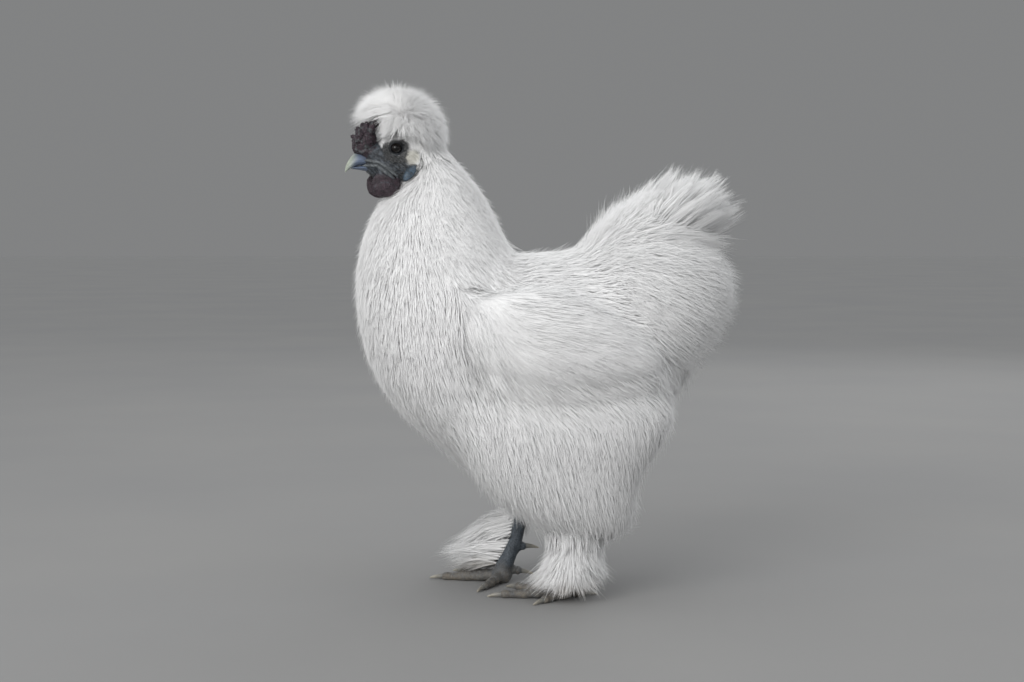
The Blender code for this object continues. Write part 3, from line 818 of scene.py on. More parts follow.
darkFringes = (  # dark strands along the brow, and behind the ear a painted shadow line between the ear patch and the hackle: places in the head's frame, and how wide
    (((-111.0, 304.5), (-107.5, 307.3), (-103.5, 308.6), (-99.5, 308.6), (-96.0, 306.8),
      (-94.8, 304.0)), 1.7),
    (((-86.6, 300.0), (-85.2, 297.0), (-85.2, 292.0), (-88.3, 286.0)), 1.1),
)


def darkAt(points):
    local = worldToHead(points)
    dark = np.zeros(len(points))
    for line, width in darkFringes:
        dark = np.maximum(dark, smoothstep(width * 1.3, width * 0.5, lineGap(local[:, [0, 2]], line)))
    return dark * (np.abs(local[:, 1]) > 7) * (local[:, 2] > 283)


def markSkin():  # masks for colour, and where the coat grows
    points = pointsOf(skin.data)
    out = toOutline(points)[2]
    local = worldToHead(points)
    onHead = (local[:, 2] > headPlan["low"][2]) & (local[:, 0] < headPlan["joint"])
    found = {**masksOnHead(local[onHead]), "creaseTone": faceCreases(local[onHead])}
    masks = {"legTone": np.zeros(len(points)), "dustTone": dustAt(points), "creamTone": creamAt(points)}
    for name, values in found.items():
        masks[name] = np.zeros(len(points))
        masks[name][onHead] = values
    face = insideLoop(local[:, 0], local[:, 2], bareFace) & onHead
    gap = loopGap(local[:, 0], local[:, 2], bareFace)
    signed = np.where(face, gap, -gap) + 1.5 * (softNoise(local, 2.2, 61) - 0.5)
    face = signed > 0
    shown = np.maximum(smoothstep(-1.5, 1.0, signed), smoothstep(-1.0, 0.5, out * 1000))
    masks["faceTone"] = np.where(onHead, shown, 0)
    low = points[:, 2] < 0.080
    forms = legForms(leftLeg) + legForms(rightLeg)
    off = np.min([form[2](points[low] * 1000) for form in forms], axis=0)
    masks["legTone"][low] = smoothstep(2.2, 1.0, off)
    for name, values in masks.items():
        setValues(skin.data, name, values)
    combed = np.maximum(masks["combTone"], masks["wattleTone"])
    grows = (out < -0.0006) & ~(face & onHead) & (np.maximum(combed, masks["lobeTone"]) < 0.3)
    bare = face & (combed < 0.2) & (masks["foldTone"] < 0.3)
    return points, grows, signed, bare


skinPoints, coatGrows, faceGap, bareSkin = markSkin()
report("masks on the skin")


def unwrapSkin():
    for obj in bpy.context.selected_objects:
        obj.select_set(False)
    bpy.context.view_layer.objects.active = skin
    skin.select_set(True)
    skin.data.uv_layers.new(name="OFBake")
    bpy.ops.object.mode_set(mode="EDIT")
    bpy.ops.mesh.select_all(action="SELECT")
    bpy.ops.uv.smart_project(angle_limit=math.radians(66), island_margin=0.002)
    bpy.ops.object.mode_set(mode="OBJECT")


unwrapSkin()
report("skin unwrapped")


# The coat: thin closed tufts, each one curved along the lie of the plumage there

# Per region: tufts, length, half width, how strongly tufts gather into locks, the locks' spacing,
# how far locks rise and fall, rings.
coatPlan = {
    "crest": (15000, 0.0180, 0.00019, 0.14, 0.0036, 0.0002, 2),
    "neck": (17600, 0.0190, 0.00023, 0.09, 0.0042, 0.0001, 2),
    "breast": (19600, 0.0200, 0.00025, 0.10, 0.0046, 0.0002, 2),
    "trunk": (11000, 0.0230, 0.00025, 0.12, 0.0055, 0.0002, 2),
    "cushion": (17500, 0.0310, 0.00022, 0.12, 0.0060, 0.0001, 2),
    "tail": (8200, 0.0640, 0.00021, 0.86, 0.0092, 0.0010, 3),
    "wing_left": (10800, 0.0290, 0.00024, 0.42, 0.0085, 0.0004, 2),
    "wing_right": (8800, 0.0280, 0.00026, 0.36, 0.0085, 0.0005, 2),
    "thigh_left": (11500, 0.0220, 0.00023, 0.14, 0.0055, 0.0003, 2),
    "thigh_right": (9200, 0.0220, 0.00025, 0.14, 0.0055, 0.0003, 2),
    "leg_feathers_left": (8600, 0.0150, 0.00020, 0.55, 0.0042, 0.0004, 2),
    "leg_feathers_right": (6800, 0.0160, 0.00020, 0.55, 0.0042, 0.0004, 2),
}
tipReach = {  # how far tips pass the outline, or stay inside it where the numbers are below zero
    "neck": (-0.0014, 0.0000), "breast": (-0.0014, 0.0000), "trunk": (-0.0014, 0.0000),
    "cushion": (-0.0020, 0.0004), "tail": (-0.0080, 0.0050), "wing_left": (-0.0022, -0.0002),
    "wing_right": (-0.0022, -0.0002), "thigh_left": (-0.0018, 0.0002), "thigh_right": (-0.0018, 0.0002),
}
lockReach = {  # how long a lock is beside its neighbours
    "tail": (0.52, 1.10), "cushion": (0.88, 1.06), "leg_feathers_left": (0.74, 1.12),
    "leg_feathers_right": (0.74, 1.12), "wing_left": (0.86, 1.08), "wing_right": (0.86, 1.08),
    "other": (0.94, 1.03),
}
coatFringe = {  # the share of strands that stand out from the lie, and by how much
    "crest": (0.40, 0.0052), "neck": (0.12, 0.0016), "breast": (0.14, 0.0026), "trunk": (0.12, 0.0014),
    "cushion": (0.26, 0.0085), "tail": (0.24, 0.0060), "wing_left": (0.12, 0.0014),
    "wing_right": (0.12, 0.0014), "thigh_left": (0.22, 0.0048), "thigh_right": (0.22, 0.0048),
    "leg_feathers_left": (0.34, 0.0075), "leg_feathers_right": (0.34, 0.0075),
}
coatLoose = {"thinner": 0.85, "wander": 0.10, "under": 0.45, "underWider": 1.35, "underShort": 0.0010}
coatHangs = {"under": 0.092, "past": 0.006}  # below that height the thighs' hair hangs free of the outline
coatLowest = {"tips": 0.0006, "bends": 0.0010, "roots": 0.0008, "sunk": 0.0004}


def along(flow, normals):  # the flow laid flat against the surface
    flow = np.broadcast_to(np.asarray(flow, float), normals.shape)
    return unit(flow - np.sum(flow * normals, axis=-1, keepdims=True) * normals)


def lieOf(region, points, normals):
    x, y, z = points.T
    side = np.sign(y)
    if region == "neck":
        back = smoothstep(-0.105, -0.045, x)
        flow = (0.05 + 0.50 * back, 0 * y, -1 + 0.1 * back)
    elif region == "breast":
        low = smoothstep(0.16, 0.10, z)
        back = smoothstep(-0.12, -0.03, x)
        flow = (0.10 + 0.35 * back + 0.5 * low, 0 * y, -1 + 0.25 * low)
    elif region == "trunk":
        down = smoothstep(0.215, 0.13, z)
        flow = (1 - 0.3 * down, 0.15 * side, -0.05 - 0.75 * down)
    elif region == "cushion":
        away = points - np.array([-0.010, 0, 0.236])
        away[:, 2] -= 0.010
        return unit(along(away, normals) + 0.25 * normals)
    elif region == "tail":
        away = unit(points - np.array([0.012, 0, 0.196]))
        return unit(away * (1, 0.55, 1) + 0.10 * normals)
    elif region.startswith("wing"):
        low = smoothstep(0.19, 0.15, z)
        front = smoothstep(-0.012, -0.048, x)  # there it follows the breast
        flow = (1 - 0.15 * low - 0.6 * front, 0 * y, -0.22 - 0.35 * low - 0.7 * front)
    else:  # the thighs
        behind = smoothstep(0.0, 0.07, x)
        flow = (0.34 - 0.18 * behind, 0.05 * side, -1 + 0 * x)
    return along(np.stack(flow, axis=-1), normals)


crestPuff = {
    "rows": (  # height, front, back and half width, in the head's frame
        (345.3, -101.0, -99.0, 0.6), (344.8, -107.0, -93.0, 6.0), (342.0, -116.0, -82.5, 16.0),
        (334.0, -125.5, -72.8, 24.5), (324.0, -130.3, -66.4, 29.0), (315.0, -129.0, -64.5, 29.5),
        (309.5, -123.5, -64.8, 27.0), (304.5, -116.0, -65.0, 24.0), (299.0, -106.0, -66.0, 21.0),
        (294.0, -98.0, -68.0, 18.5),
    ),
    "heart": (-98.0, 0.0, 319.0), "crown": (-100.0, 0.0, 330.0), "drawn": (0.50, 0.26, 0.50),
    "front": ((-117.2, 340.0), (-117.2, 321.0), (-115.0, 312.0), (-111.6, 301.5)),  # beside the comb
    "wall": {"below": 320.5, "halfWidth": 9.5, "deep": 3.5, "behind": 3.0},  # the crest's end at the comb
    "nape": ((-95.0, 308.5), (-84.0, 302.5), (-80.0, 294.0)),  # the crest ends above the ear
    "spare": 1.35, "longest": 0.040, "under": 0.34, "arch": 0.05,
}
footPuff = {
    "hubs": {"leg_feathers_left": (0.016, -0.030, 0.012), "leg_feathers_right": (-0.026, 0.030, 0.014)},
    "raise": {"leg_feathers_left": (0.004, 0.017), "leg_feathers_right": (0.010, 0.028)},
    "below": {"leg_feathers_left": 0.075, "leg_feathers_right": 0.047},
    "above": 0.013, "aside": 0.028, "outer": 0.022, "hidden": -0.0030, "toHub": 0.85,
    "spare": 1.25, "longest": 0.058, "under": 0.40, "arch": 0.15,
}


def puffTips(count):  # places on the whole round crest, clear of the comb and the face
    table = smoothRows(crestPuff["rows"], 60)
    deep = (table[:, 2] - table[:, 1]) / 2
    rings = np.sqrt((deep**2 + table[:, 3] ** 2) / 2)
    steps = np.hypot(np.diff(table[:, 0]), (np.abs(np.diff(deep)) + np.abs(np.diff(table[:, 3]))) / 2)
    total = np.concatenate([[0], np.cumsum(steps * (rings[1:] + rings[:-1]))])
    places = np.interp(rng.random(count) * total[-1], total, np.arange(len(table)))
    high, front, back, half = (np.interp(places, np.arange(len(table)), table[:, k]) for k in range(4))
    turn = rng.uniform(0, 2 * math.pi, count)
    middle, reach = (front + back) / 2, (back - front) / 2
    local = np.stack([middle + reach * np.cos(turn), half * np.sin(turn), high], axis=-1)
    line, edge, wall = np.array(crestPuff["front"])[::-1], np.array(crestPuff["nape"]), crestPuff["wall"]
    x, y, z = local.T
    combBack = np.interp(z, line[:, 1], line[:, 0])
    overComb = np.abs(y) < wall["halfWidth"]
    ahead = (z < wall["below"] + rng.normal(0, 1.5, count)) & (x < combBack) & ((y < 0) | overComb)
    local[ahead, 0] = combBack[ahead] + rng.uniform(0, wall["deep"], ahead.sum())
    local[ahead & overComb, 0] += wall["behind"]
    x, y, z = local.T
    bare = (y > 0) & (z < 310.5) & (x < -108)  # the far half comes forward beside the comb
    bare |= z < np.interp(x, edge[:, 0], edge[:, 1])
    bare |= (x < -95) & (z < 307.3) & insideLoop(x, z, bareFace)
    tips = headToWorld(local[~bare])
    heart = np.array(crestPuff["heart"])
    drawn = rng.uniform(0.7, 1.15, (len(tips), 1)) * crestPuff["drawn"]
    aims = local[~bare] + (np.array(crestPuff["crown"]) - local[~bare]) * drawn
    return tips, headToWorld(aims), unit((tips - headToWorld(heart)) * (1, 1, 0.6) + (0, 0, 0.022))


def footTips(region, count):  # places all over a foot's feathering
    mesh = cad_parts[region].data
    points, faces = pointsOf(mesh), trianglesOf(mesh)
    normals = crossOf(points, faces)
    total = np.cumsum(np.linalg.norm(normals, axis=-1))
    chosen = np.searchsorted(total, rng.random(count) * total[-1])
    u, v = rng.random(count)[:, None], rng.random(count)[:, None]
    u, v = np.where(u + v > 1, 1 - u, u), np.where(u + v > 1, 1 - v, v)
    a, b, c = (points[faces[:, k]] for k in range(3))
    tips = a[chosen] + u * (b - a)[chosen] + v * (c - a)[chosen]
    outward = unit(normals)[chosen]
    seen = toOutline(tips)[2] > footPuff["hidden"]
    tips, outward = tips[seen], outward[seen]
    hub = np.array(footPuff["hubs"][region])
    low = smoothstep(0.034, 0.010, tips[:, 2])[:, None]
    aims = tips + (hub - tips) * (1, 1, 0) * footPuff["toHub"] * low * rng.uniform(0.5, 1.15, (len(tips), 1))
    aims[:, 2] += rng.uniform(*footPuff["raise"][region], len(tips))
    away = unit((tips - hub) * (1, 1, 0.6))
    return tips, aims, unit(outward * 0.6 + away * 0.7 + (0, 0, 0.25))


def rootsFor(tips, aims, faces):  # where on the skin each strand comes from
    rootTree = treeOf(skinPoints, faces)
    found = [rootTree.find_nearest(aim) for aim in aims.tolist()]
    return np.array([hit[0] for hit in found]), np.array([hit[2] for hit in found])


def scatterRoots(count, faces, weights, uvs):
    total = np.cumsum(weights)
    spots = (np.arange(count) + rng.random(count)) / count * total[-1]
    chosen = np.minimum(np.searchsorted(total, spots), len(faces) - 1)
    a, b = rng.random(count), rng.random(count)
    over = a + b > 1
    a[over], b[over] = 1 - a[over], 1 - b[over]
    shares = np.stack([1 - a - b, a, b], axis=-1)
    corners = faces[chosen]
    roots = np.sum(skinPoints[corners] * shares[:, :, None], axis=1)
    normals = unit(np.sum(skinNormals[corners] * shares[:, :, None], axis=1))
    places = np.sum(uvs[chosen] * shares[:, :, None], axis=1)
    gaps = np.sum(faceGap[corners] * shares, axis=1)
    return roots, normals, places, gaps


def gatherLocks(roots, tips, bends, normals, strength, spacing, rise, reach):
    count = max(8, int(len(roots) * (0.0011 / spacing) ** 2 * 2.2))
    guides = rng.choice(len(roots), count, replace=False)
    tree = KDTree(count)
    for k, g in enumerate(guides):
        tree.insert(roots[g], k)
    tree.balance()
    owner = np.array([tree.find(point)[1] for point in roots.tolist()])
    leader = guides[owner]
    pull = (strength * rng.uniform(0.55, 1.25, len(roots)))[:, None]
    target = tips[leader] + (roots - roots[leader]) * 0.30
    lift = (rise * rng.uniform(-1, 1, count))[owner][:, None] * normals
    length = rng.uniform(*reach, count)[owner][:, None]
    tips = roots + (tips - roots) * length
    target = roots + (target - roots) * length
    bends = bends + (bends[leader] - bends) * pull * 0.45 + lift * 0.6
    return tips * (1 - pull) + target * pull + lift, bends


tuftSoftness = {"own": 0.22, "least": 0.15}  # how much of a strand's own facing shows in its shading
tuftPatch = {"wide": 0.0012, "long": 0.0026}  # each strand's place in the unwrap
tuftRings = {  # for two rings or three: their places along the strand, and how wide each one is
    2: ((0.0, 0.52), (0.55, 1.0)),
    3: ((0.0, 0.42, 0.76), (0.6, 1.0, 0.62)),
}


def tuftMesh(name, roots, bends, tips, ups, half, uvs, rings, marks):
    steps, swell = tuftRings[rings]
    count, size = len(roots), 3 * rings + 1
    points = np.empty((count, size, 3))
    shareAlong = np.empty((count, size))
    patch = np.empty((count, size, 2))
    for k, (s, fat) in enumerate(zip(steps, swell)):
        centre = (1 - s) ** 2 * roots + 2 * s * (1 - s) * bends + s * s * tips
        way = unit((1 - s) * (bends - roots) + s * (tips - bends))
        wide = unit(np.cross(way, ups))
        high = np.cross(wide, way)
        for j, (out, up) in enumerate(((1, 0), (-1, 0), (0, 0.7))):
            points[:, 3 * k + j] = centre + (wide * out + high * up) * (half * fat)[:, None]
            patch[:, 3 * k + j] = uvs + np.array([tuftPatch["wide"] * out, tuftPatch["long"] * (s - 0.5)])
            shareAlong[:, 3 * k + j] = s
    points[:, -1] = tips
    patch[:, -1] = uvs + np.array([0, tuftPatch["long"] * 0.5])
    shareAlong[:, -1] = 1
    faces = [(0, 2, 1)]
    for k in range(rings - 1):
        for j in range(3):
            a, b = 3 * k + j, 3 * k + (j + 1) % 3
            faces += [(a, b, b + 3), (a, b + 3, a + 3)]
    last = 3 * (rings - 1)
    faces += [(last + j, last + (j + 1) % 3, size - 1) for j in range(3)]
    faces = np.array(faces)
    allFaces = (faces[None] + (np.arange(count) * size)[:, None, None]).reshape(-1, 3)
    mesh = meshFrom(name, points.reshape(-1, 3), allFaces)
    facing = unit(crossOf(points, faces))
    soft = ups[:, None] + facing * tuftSoftness["own"]
    behind = np.sum(soft * facing, axis=-1, keepdims=True)
    soft = unit(soft + facing * np.maximum(tuftSoftness["least"] - behind, 0))  # never away from its face
    mesh.normals_split_custom_set(np.repeat(soft.reshape(-1, 3), 3, axis=0).astype(np.float32))
    layer = mesh.uv_layers.new(name="OFBake")
    layer.uv.foreach_set("vector", patch.reshape(-1, 2)[allFaces.ravel()].astype(np.float32).ravel())
    setValues(mesh, "alongTuft", shareAlong.ravel())
    for label, values in marks.items():
        setValues(mesh, label, np.repeat(values, size))
    return mesh


def growCoat(region, faces, weights, uvs):  # strands placed by where they start
    count, length = coatPlan[region][:2]
    roots, normals, places, gaps = scatterRoots(count, faces, weights, uvs)
    share, proud = coatFringe[region]
    loose = rng.random(count) < share
    under = ~loose & (rng.random(count) < coatLoose["under"])
    lie = lieOf(region, roots, normals)
    lie = unit(lie + coatLoose["wander"] * rng.normal(size=(count, 3)))
    stand = rng.uniform(0.15, 0.95, count) * loose
    lie = unit(lie + normals * stand[:, None])
    lengths = length * rng.uniform(0.72, 1.12, count)
    if region == "neck":
        low = worldToHead(roots)[:, 2] < 313
        lengths *= np.where(low, np.clip(0.22 + (-gaps) / 14.0, 0.22, 1.0), 1.0)  # short round the bare face
    if region == "tail":
        lengths *= rng.uniform(0.40, 1.05, count) ** 0.8  # only some of the plumes reach the rim
    aimed = roots + lie * lengths[:, None]
    near, outward, out = toOutline(aimed)
    short = rng.uniform(*tipReach[region], count)
    short[loose] += proud * rng.uniform(0.1, 1.0, loose.sum()) ** 1.5
    short[under] -= coatLoose["underShort"]
    if region.startswith("wing"):
        short -= wingSinks(roots[:, 0])
    depth = -toOutline(roots)[2]
    tips = near + outward * short[:, None]
    free = loose | (region == "tail")  # these keep their own way, and end near the outline
    tips[free] = (aimed - lie * np.maximum(out - short, 0)[:, None])[free]
    if region.startswith("thigh"):
        hangs = (roots[:, 2] < coatHangs["under"]) & (out > 0) & (out < coatHangs["past"])
        tips[hangs] = aimed[hangs]
    stretch = np.linalg.norm(tips - roots, axis=-1) / lengths
    tips = roots + (tips - roots) / np.maximum(stretch / 1.5, 1)[:, None]
    lift = np.where(loose, rng.uniform(-0.25, 0.10, count), rng.uniform(-0.05, 0.35, count))
    bends = roots + (tips - roots) * 0.45 + normals * (np.clip(depth, 0, 0.014) * lift)[:, None]
    bends += rng.normal(size=(count, 3)) * (lengths * 0.04)[:, None]
    ups = broadened(roots, outward)
    return finishCoat(region, roots, bends, tips, ups, normals, places, lengths, loose, under)


def growPuff(region, faces, uvs):  # strands placed by where they end
    count, crest = coatPlan[region][0], region == "crest"
    plan = crestPuff if crest else footPuff
    spare = int(count * plan["spare"])
    tips, aims, outward = puffTips(spare) if crest else footTips(region, spare)
    tips, aims, outward = tips[:count], aims[:count], outward[:count]
    roots, hits = rootsFor(tips, aims, faces)
    kept = np.linalg.norm(tips - roots, axis=-1) < plan["longest"]
    tips, roots, hits, outward = tips[kept], roots[kept], hits[kept], outward[kept]
    count = len(tips)
    normals = unit(np.sum(skinNormals[faces[hits]], axis=1))
    places = np.mean(uvs[hits], axis=1)
    share, proud = coatFringe[region]
    loose = rng.random(count) < share
    under = ~loose & (rng.random(count) < plan["under"])
    reach = np.where(under, rng.uniform(0.55, 0.95, count), rng.uniform(0.95, 1.01, count))
    lengths = np.linalg.norm(tips - roots, axis=-1)
    reach[loose] = 1 + (proud * rng.uniform(0, 1, count) ** 1.5 / np.maximum(lengths, 0.004))[loose]
    tips = roots + (tips - roots) * reach[:, None] + rng.normal(size=(count, 3)) * 0.0009
    lengths = np.linalg.norm(tips - roots, axis=-1)
    arch = plan["arch"] * rng.uniform(0.3, 1.2, count) * lengths
    bends = roots + (tips - roots) * 0.45 + np.array([0, 0, 1.0]) * arch[:, None]
    bends = bends + outward * (0.06 * lengths)[:, None]
    bends += rng.normal(size=(count, 3)) * (lengths * 0.05)[:, None]
    return finishCoat(region, roots, bends, tips, outward, normals, places, lengths, loose, under)


def finishCoat(region, roots, bends, tips, ups, normals, places, lengths, loose, under):
    _, length, half, strength, spacing, rise, rings = coatPlan[region]
    reach = lockReach.get(region, lockReach["other"])
    tips, bends = gatherLocks(roots, tips, bends, ups, strength, spacing, rise, reach)
    roots = roots - normals * coatLowest["sunk"]
    for spots, lowest in ((tips, "tips"), (bends, "bends"), (roots, "roots")):
        spots[:, 2] = np.maximum(spots[:, 2], coatLowest[lowest])
    widths = half * rng.uniform(0.75, 1.25, len(roots)) * np.where(loose, coatLoose["thinner"], 1)
    widths[under] *= coatLoose["underWider"]
    widths *= np.clip(lengths / length, 0.5, 1.1)
    marks = {"dustTone": dustAt(tips * 0.6 + roots * 0.4), "creamTone": creamAt(roots),
             "darkTone": darkAt(roots), "tuftShade": rng.random(len(roots))}
    return tuftMesh("coat_" + region, roots, bends, tips, ups, widths, places, rings, marks)


faceFuzz = {
    "rings": (  # round the eye: bristles, from and to in millimetres, and how long they are
        (2600, 5.0, 9.5, 1.0), (1100, 9.5, 60.0, 0.7),
    ),
    "length": 0.0026, "half": 0.00011, "ahead": -112.0, "thinAhead": 0.25, "sweepTo": (-78.0, 0.0, 296.0),
}


def growFuzz(faces, areas, uvs):  # tiny dark bristles round the eyes and, thinner, over the face
    local = worldToHead(np.mean(skinPoints[faces], axis=1))
    eye = np.array(headPlan["eye"])
    gap = np.min([np.linalg.norm(local * (1, side, 1) - eye, axis=-1) for side in (1, -1)], axis=0)
    weights = areas * np.where(local[:, 0] > faceFuzz["ahead"], 1.0, faceFuzz["thinAhead"])
    pieces, shorter = [], []
    for count, low, high, share in faceFuzz["rings"]:
        pieces.append(scatterRoots(count, faces, weights * ((gap > low) & (gap < high)), uvs))
        shorter.append(np.full(count, share))
    roots, normals, places, _ = (np.concatenate(rows) for rows in zip(*pieces))
    count = len(roots)
    sides = np.where(worldToHead(roots)[:, 1:2] > 0, 1.0, -1.0)
    eyes = headToWorld(eye * np.where([False, True, False], sides, 1.0))
    away = along(roots - eyes, normals)
    back = along(headToWorld(np.array(faceFuzz["sweepTo"])) - roots, normals)
    lie = unit(away * 0.7 + back * 0.7 + normals * 0.55 + 0.25 * rng.normal(size=(count, 3)))
    lengths = faceFuzz["length"] * rng.uniform(0.5, 1.2, count) * np.concatenate(shorter)
    tips = roots + lie * lengths[:, None]
    bends = roots + (tips - roots) * 0.5 + normals * (0.15 * lengths)[:, None]
    widths = faceFuzz["half"] * rng.uniform(0.6, 1.2, count)
    marks = {"dustTone": np.zeros(count), "creamTone": np.zeros(count),
             "darkTone": rng.uniform(0.75, 1.0, count), "tuftShade": rng.random(count)}
    return tuftMesh("coat_face", roots - normals * 0.0002, bends, tips, normals, widths, places, 2, marks)


skinNormals = normalsOf(skin.data)


def shankFaces(region, faces, grows):  # a foot's feathers come from its shank, and sweep over the toes
    corners = skinPoints[faces]
    middle, low = np.mean(corners, axis=1), np.min(corners[:, :, 2], axis=1)
    aside = np.abs(middle[:, 1] - footPuff["hubs"][region][1])
    chosen = (low > footPuff["above"]) & (middle[:, 2] < footPuff["below"][region])
    chosen &= aside < footPuff["aside"]
    return chosen & (grows if region == "leg_feathers_left" else middle[:, 1] > footPuff["outer"])


def buildCoat():
    mesh = skin.data
    faces, loops = trianglesOf(mesh), trianglesOf(mesh, "loops")
    uvs = valuesOf(mesh.uv_layers["OFBake"].uv, "vector", 2)[loops].astype(np.float64)
    areas = np.linalg.norm(crossOf(skinPoints, faces), axis=-1) / 2
    bare, grows = bareSkin[faces].all(axis=1), coatGrows[faces].all(axis=1)
    meshes = {"coat_face": growFuzz(faces[bare], areas[bare], uvs[bare])}
    regions = np.full(len(faces), -1)
    regions[grows] = regionsOf(np.mean(skinPoints[faces[grows]], axis=1))
    for number, region in enumerate(plumageNodes):
        here = regions == number
        if region.startswith("leg"):
            here = shankFaces(region, faces, grows)
        if region == "crest":  # strands of the crest may start on the neck
            here |= regions == plumageNodes.index("neck")
        if region == "crest" or region.startswith("leg"):
            meshes["coat_" + region] = growPuff(region, faces[here], uvs[here])
        else:
            meshes["coat_" + region] = growCoat(region, faces[here], areas[here], uvs[here])
        report(f"coat_{region}: {len(meshes['coat_' + region].polygons)} faces")
    return [addObject(name, coatMesh) for name, coatMesh in meshes.items()]


coats = buildCoat()


# The bill, in two horny halves with a dark gap, in the head's frame

billPlan = {
    "sides": 28, "rings": 34,
    "upper": (  # along X: place, underside, top, half width
        (-116.5, 293.4, 299.4, 4.6), (-121.5, 291.6, 300.9, 5.3), (-126.2, 290.9, 300.7, 4.9),
        (-129.8, 289.9, 299.0, 4.0), (-132.5, 288.7, 295.7, 2.9), (-134.5, 287.3, 292.1, 1.7),
        (-135.3, 286.6, 289.2, 0.7),
    ),
    "lower": (
        (-116.5, 287.8, 291.8, 3.7), (-121.5, 288.1, 291.9, 4.4), (-126.5, 288.9, 291.3, 3.7),
        (-130.8, 289.3, 290.6, 1.7),
    ),
}


def hornMesh(name, points, sides):  # rings of points joined into a closed mesh
    form = bmesh.new()
    verts = [form.verts.new(point) for point in points]
    for start in range(0, len(verts) - sides, sides):
        for k in range(sides):
            a, b = start + k, start + (k + 1) % sides
            form.faces.new([verts[corner] for corner in (a, a + sides, b + sides, b)])
    form.faces.new(verts[:sides])
    form.faces.new(verts[-sides:][::-1])
    bmesh.ops.recalc_face_normals(form, faces=form.faces)
    return meshOf(form, name)


def billMesh(name, rows, ridge):
    points, flat = [], 1 - ridge
    for x, under, top, half in smoothRows(rows, billPlan["rings"]):
        tall = top - under
        for k in range(billPlan["sides"]):
            turn = 2 * math.pi * k / billPlan["sides"]
            out, up = math.cos(turn), math.sin(turn)
            out = math.copysign(abs(out) ** (1.12 if up > 0 else 0.8), out)
            rise = abs(up) ** 0.92 if up > 0 else -abs(up) ** 1.5 * ridge
            high = (top + under) / 2 - flat * tall * 0.30 + rise * tall * (0.5 + 0.30 * flat)
            points.append((x, half * out, high))
    mesh = hornMesh(name, headToWorld(np.array(points)), billPlan["sides"])
    local = worldToHead(pointsOf(mesh))
    setValues(mesh, "tipTone", smoothstep(-127.0, -134.0, local[:, 0] - 0.35 * (local[:, 2] - 295)))
    setValues(mesh, "crownTone", smoothstep(295.5, 299.5, local[:, 2] + 0.5 * (local[:, 0] + 126)))
    return mesh


billUpper = addObject("bill_upper", billMesh("bill_upper", billPlan["upper"], 0.35))
billLower = addObject("bill_lower", billMesh("bill_lower", billPlan["lower"], 1.0))
report("bill")


# The eyes: one wet ball each, with a dark brown ring round the pupil

eyePlan = {"segments": 40, "rings": 28, "bulge": 0.045, "pupil": 21.0, "iris": 47.0,
           "aim": (-0.20, 0.97, 0.08)}


def eyeMesh(name, side):
    form = bmesh.new()
    radius = headPlan["eyeRadius"] - 0.06
    bmesh.ops.create_uvsphere(
        form, u_segments=eyePlan["segments"], v_segments=eyePlan["rings"], radius=radius)
    aim, place = (Vector(spot) * Vector((1, side, 1)) for spot in (eyePlan["aim"], headPlan["eye"]))
    turn = aim.normalized().to_track_quat("Z", "Y")
    angles = []
    for vertex in form.verts:
        angle = math.degrees(math.acos(max(-1, min(1, vertex.co.z / radius))))
        angles.append(angle)
        vertex.co *= 1 + eyePlan["bulge"] * float(smoothstep(44, 8, np.array(angle)))
        vertex.co = turn @ vertex.co + place
    mesh = meshOf(form, name)
    setPoints(mesh, headToWorld(pointsOf(mesh)))
    for tone, edge, soft in (("pupilTone", eyePlan["pupil"], 3), ("irisTone", eyePlan["iris"], 4)):
        setValues(mesh, tone, smoothstep(edge + soft, edge - soft, np.array(angles)))
    return mesh


eyeLeft = addObject("eyeball_left", eyeMesh("eyeball_left", -1))
eyeRight = addObject("eyeball_right", eyeMesh("eyeball_right", 1))
report("eyes")


# The claws, one at the end of each toe

def clawMesh(name, root, tip):
    centres, radii = toeChain(root, tip)
    way = unit(centres[-1] - centres[-2])
    wide = unit(np.cross(way, (0, 0, 1)))
    high = np.cross(wide, way)
    start = centres[-1] + way * radii[-1] * 0.35
    droop = (start[2] - 0.9) if tip[2] == 0 else 2.4
    points, tipTone = [], []
    for ring in range(claw["rings"]):
        share = ring / (claw["rings"] - 1)
        centre = start + way * (claw["length"] + 0.6) * share - np.array([0, 0, droop * share**2])
        thick = claw["thick"] * (1 - share) ** 0.62 + 0.12
        for k in range(claw["sides"]):
            turn = 2 * math.pi * k / claw["sides"]
            across = wide * math.cos(turn) * thick * 0.86
            points.append(centre + across + high * math.sin(turn) * thick * 1.12)
            tipTone.append(share)
    points = np.array(points)
    points[:, 2] = np.maximum(points[:, 2], 0.15)
    mesh = hornMesh(name, points / 1000, claw["sides"])
    setValues(mesh, "tipTone", tipTone)
    return mesh


claws = {}
for sideName, leg in (("left", leftLeg), ("right", rightLeg)):
    for toe, ends in leg["toes"].items():
        clawName = f"claw_{toe}_{sideName}"
        claws[clawName] = addObject(f"nail_{toe}_{sideName}", clawMesh(clawName, *ends))
report("claws")


# Shared effects, as node groups

def newGroup(name, takes, gives):
    group = bpy.data.node_groups.new(name, "ShaderNodeTree")
    for label, kind, value in takes:
        socket = group.interface.new_socket(label, in_out="INPUT", socket_type=kind)
        socket.default_value = value
    for label, kind in gives:
        group.interface.new_socket(label, in_out="OUTPUT", socket_type=kind)
    return group, group.nodes.new("NodeGroupInput"), group.nodes.new("NodeGroupOutput")


def feed(tree, socket, value):  # a socket takes a number, a colour or another node's result
    if isinstance(value, bpy.types.NodeSocket):
        tree.links.new(value, socket)
    else:
        socket.default_value = value


def mixColours(tree, share, first, second):
    mix = tree.nodes.new("ShaderNodeMix")
    mix.data_type = "RGBA"
    for socket, value in ((mix.inputs[0], share), (mix.inputs[6], first), (mix.inputs[7], second)):
        feed(tree, socket, value)
    return mix.outputs[2]


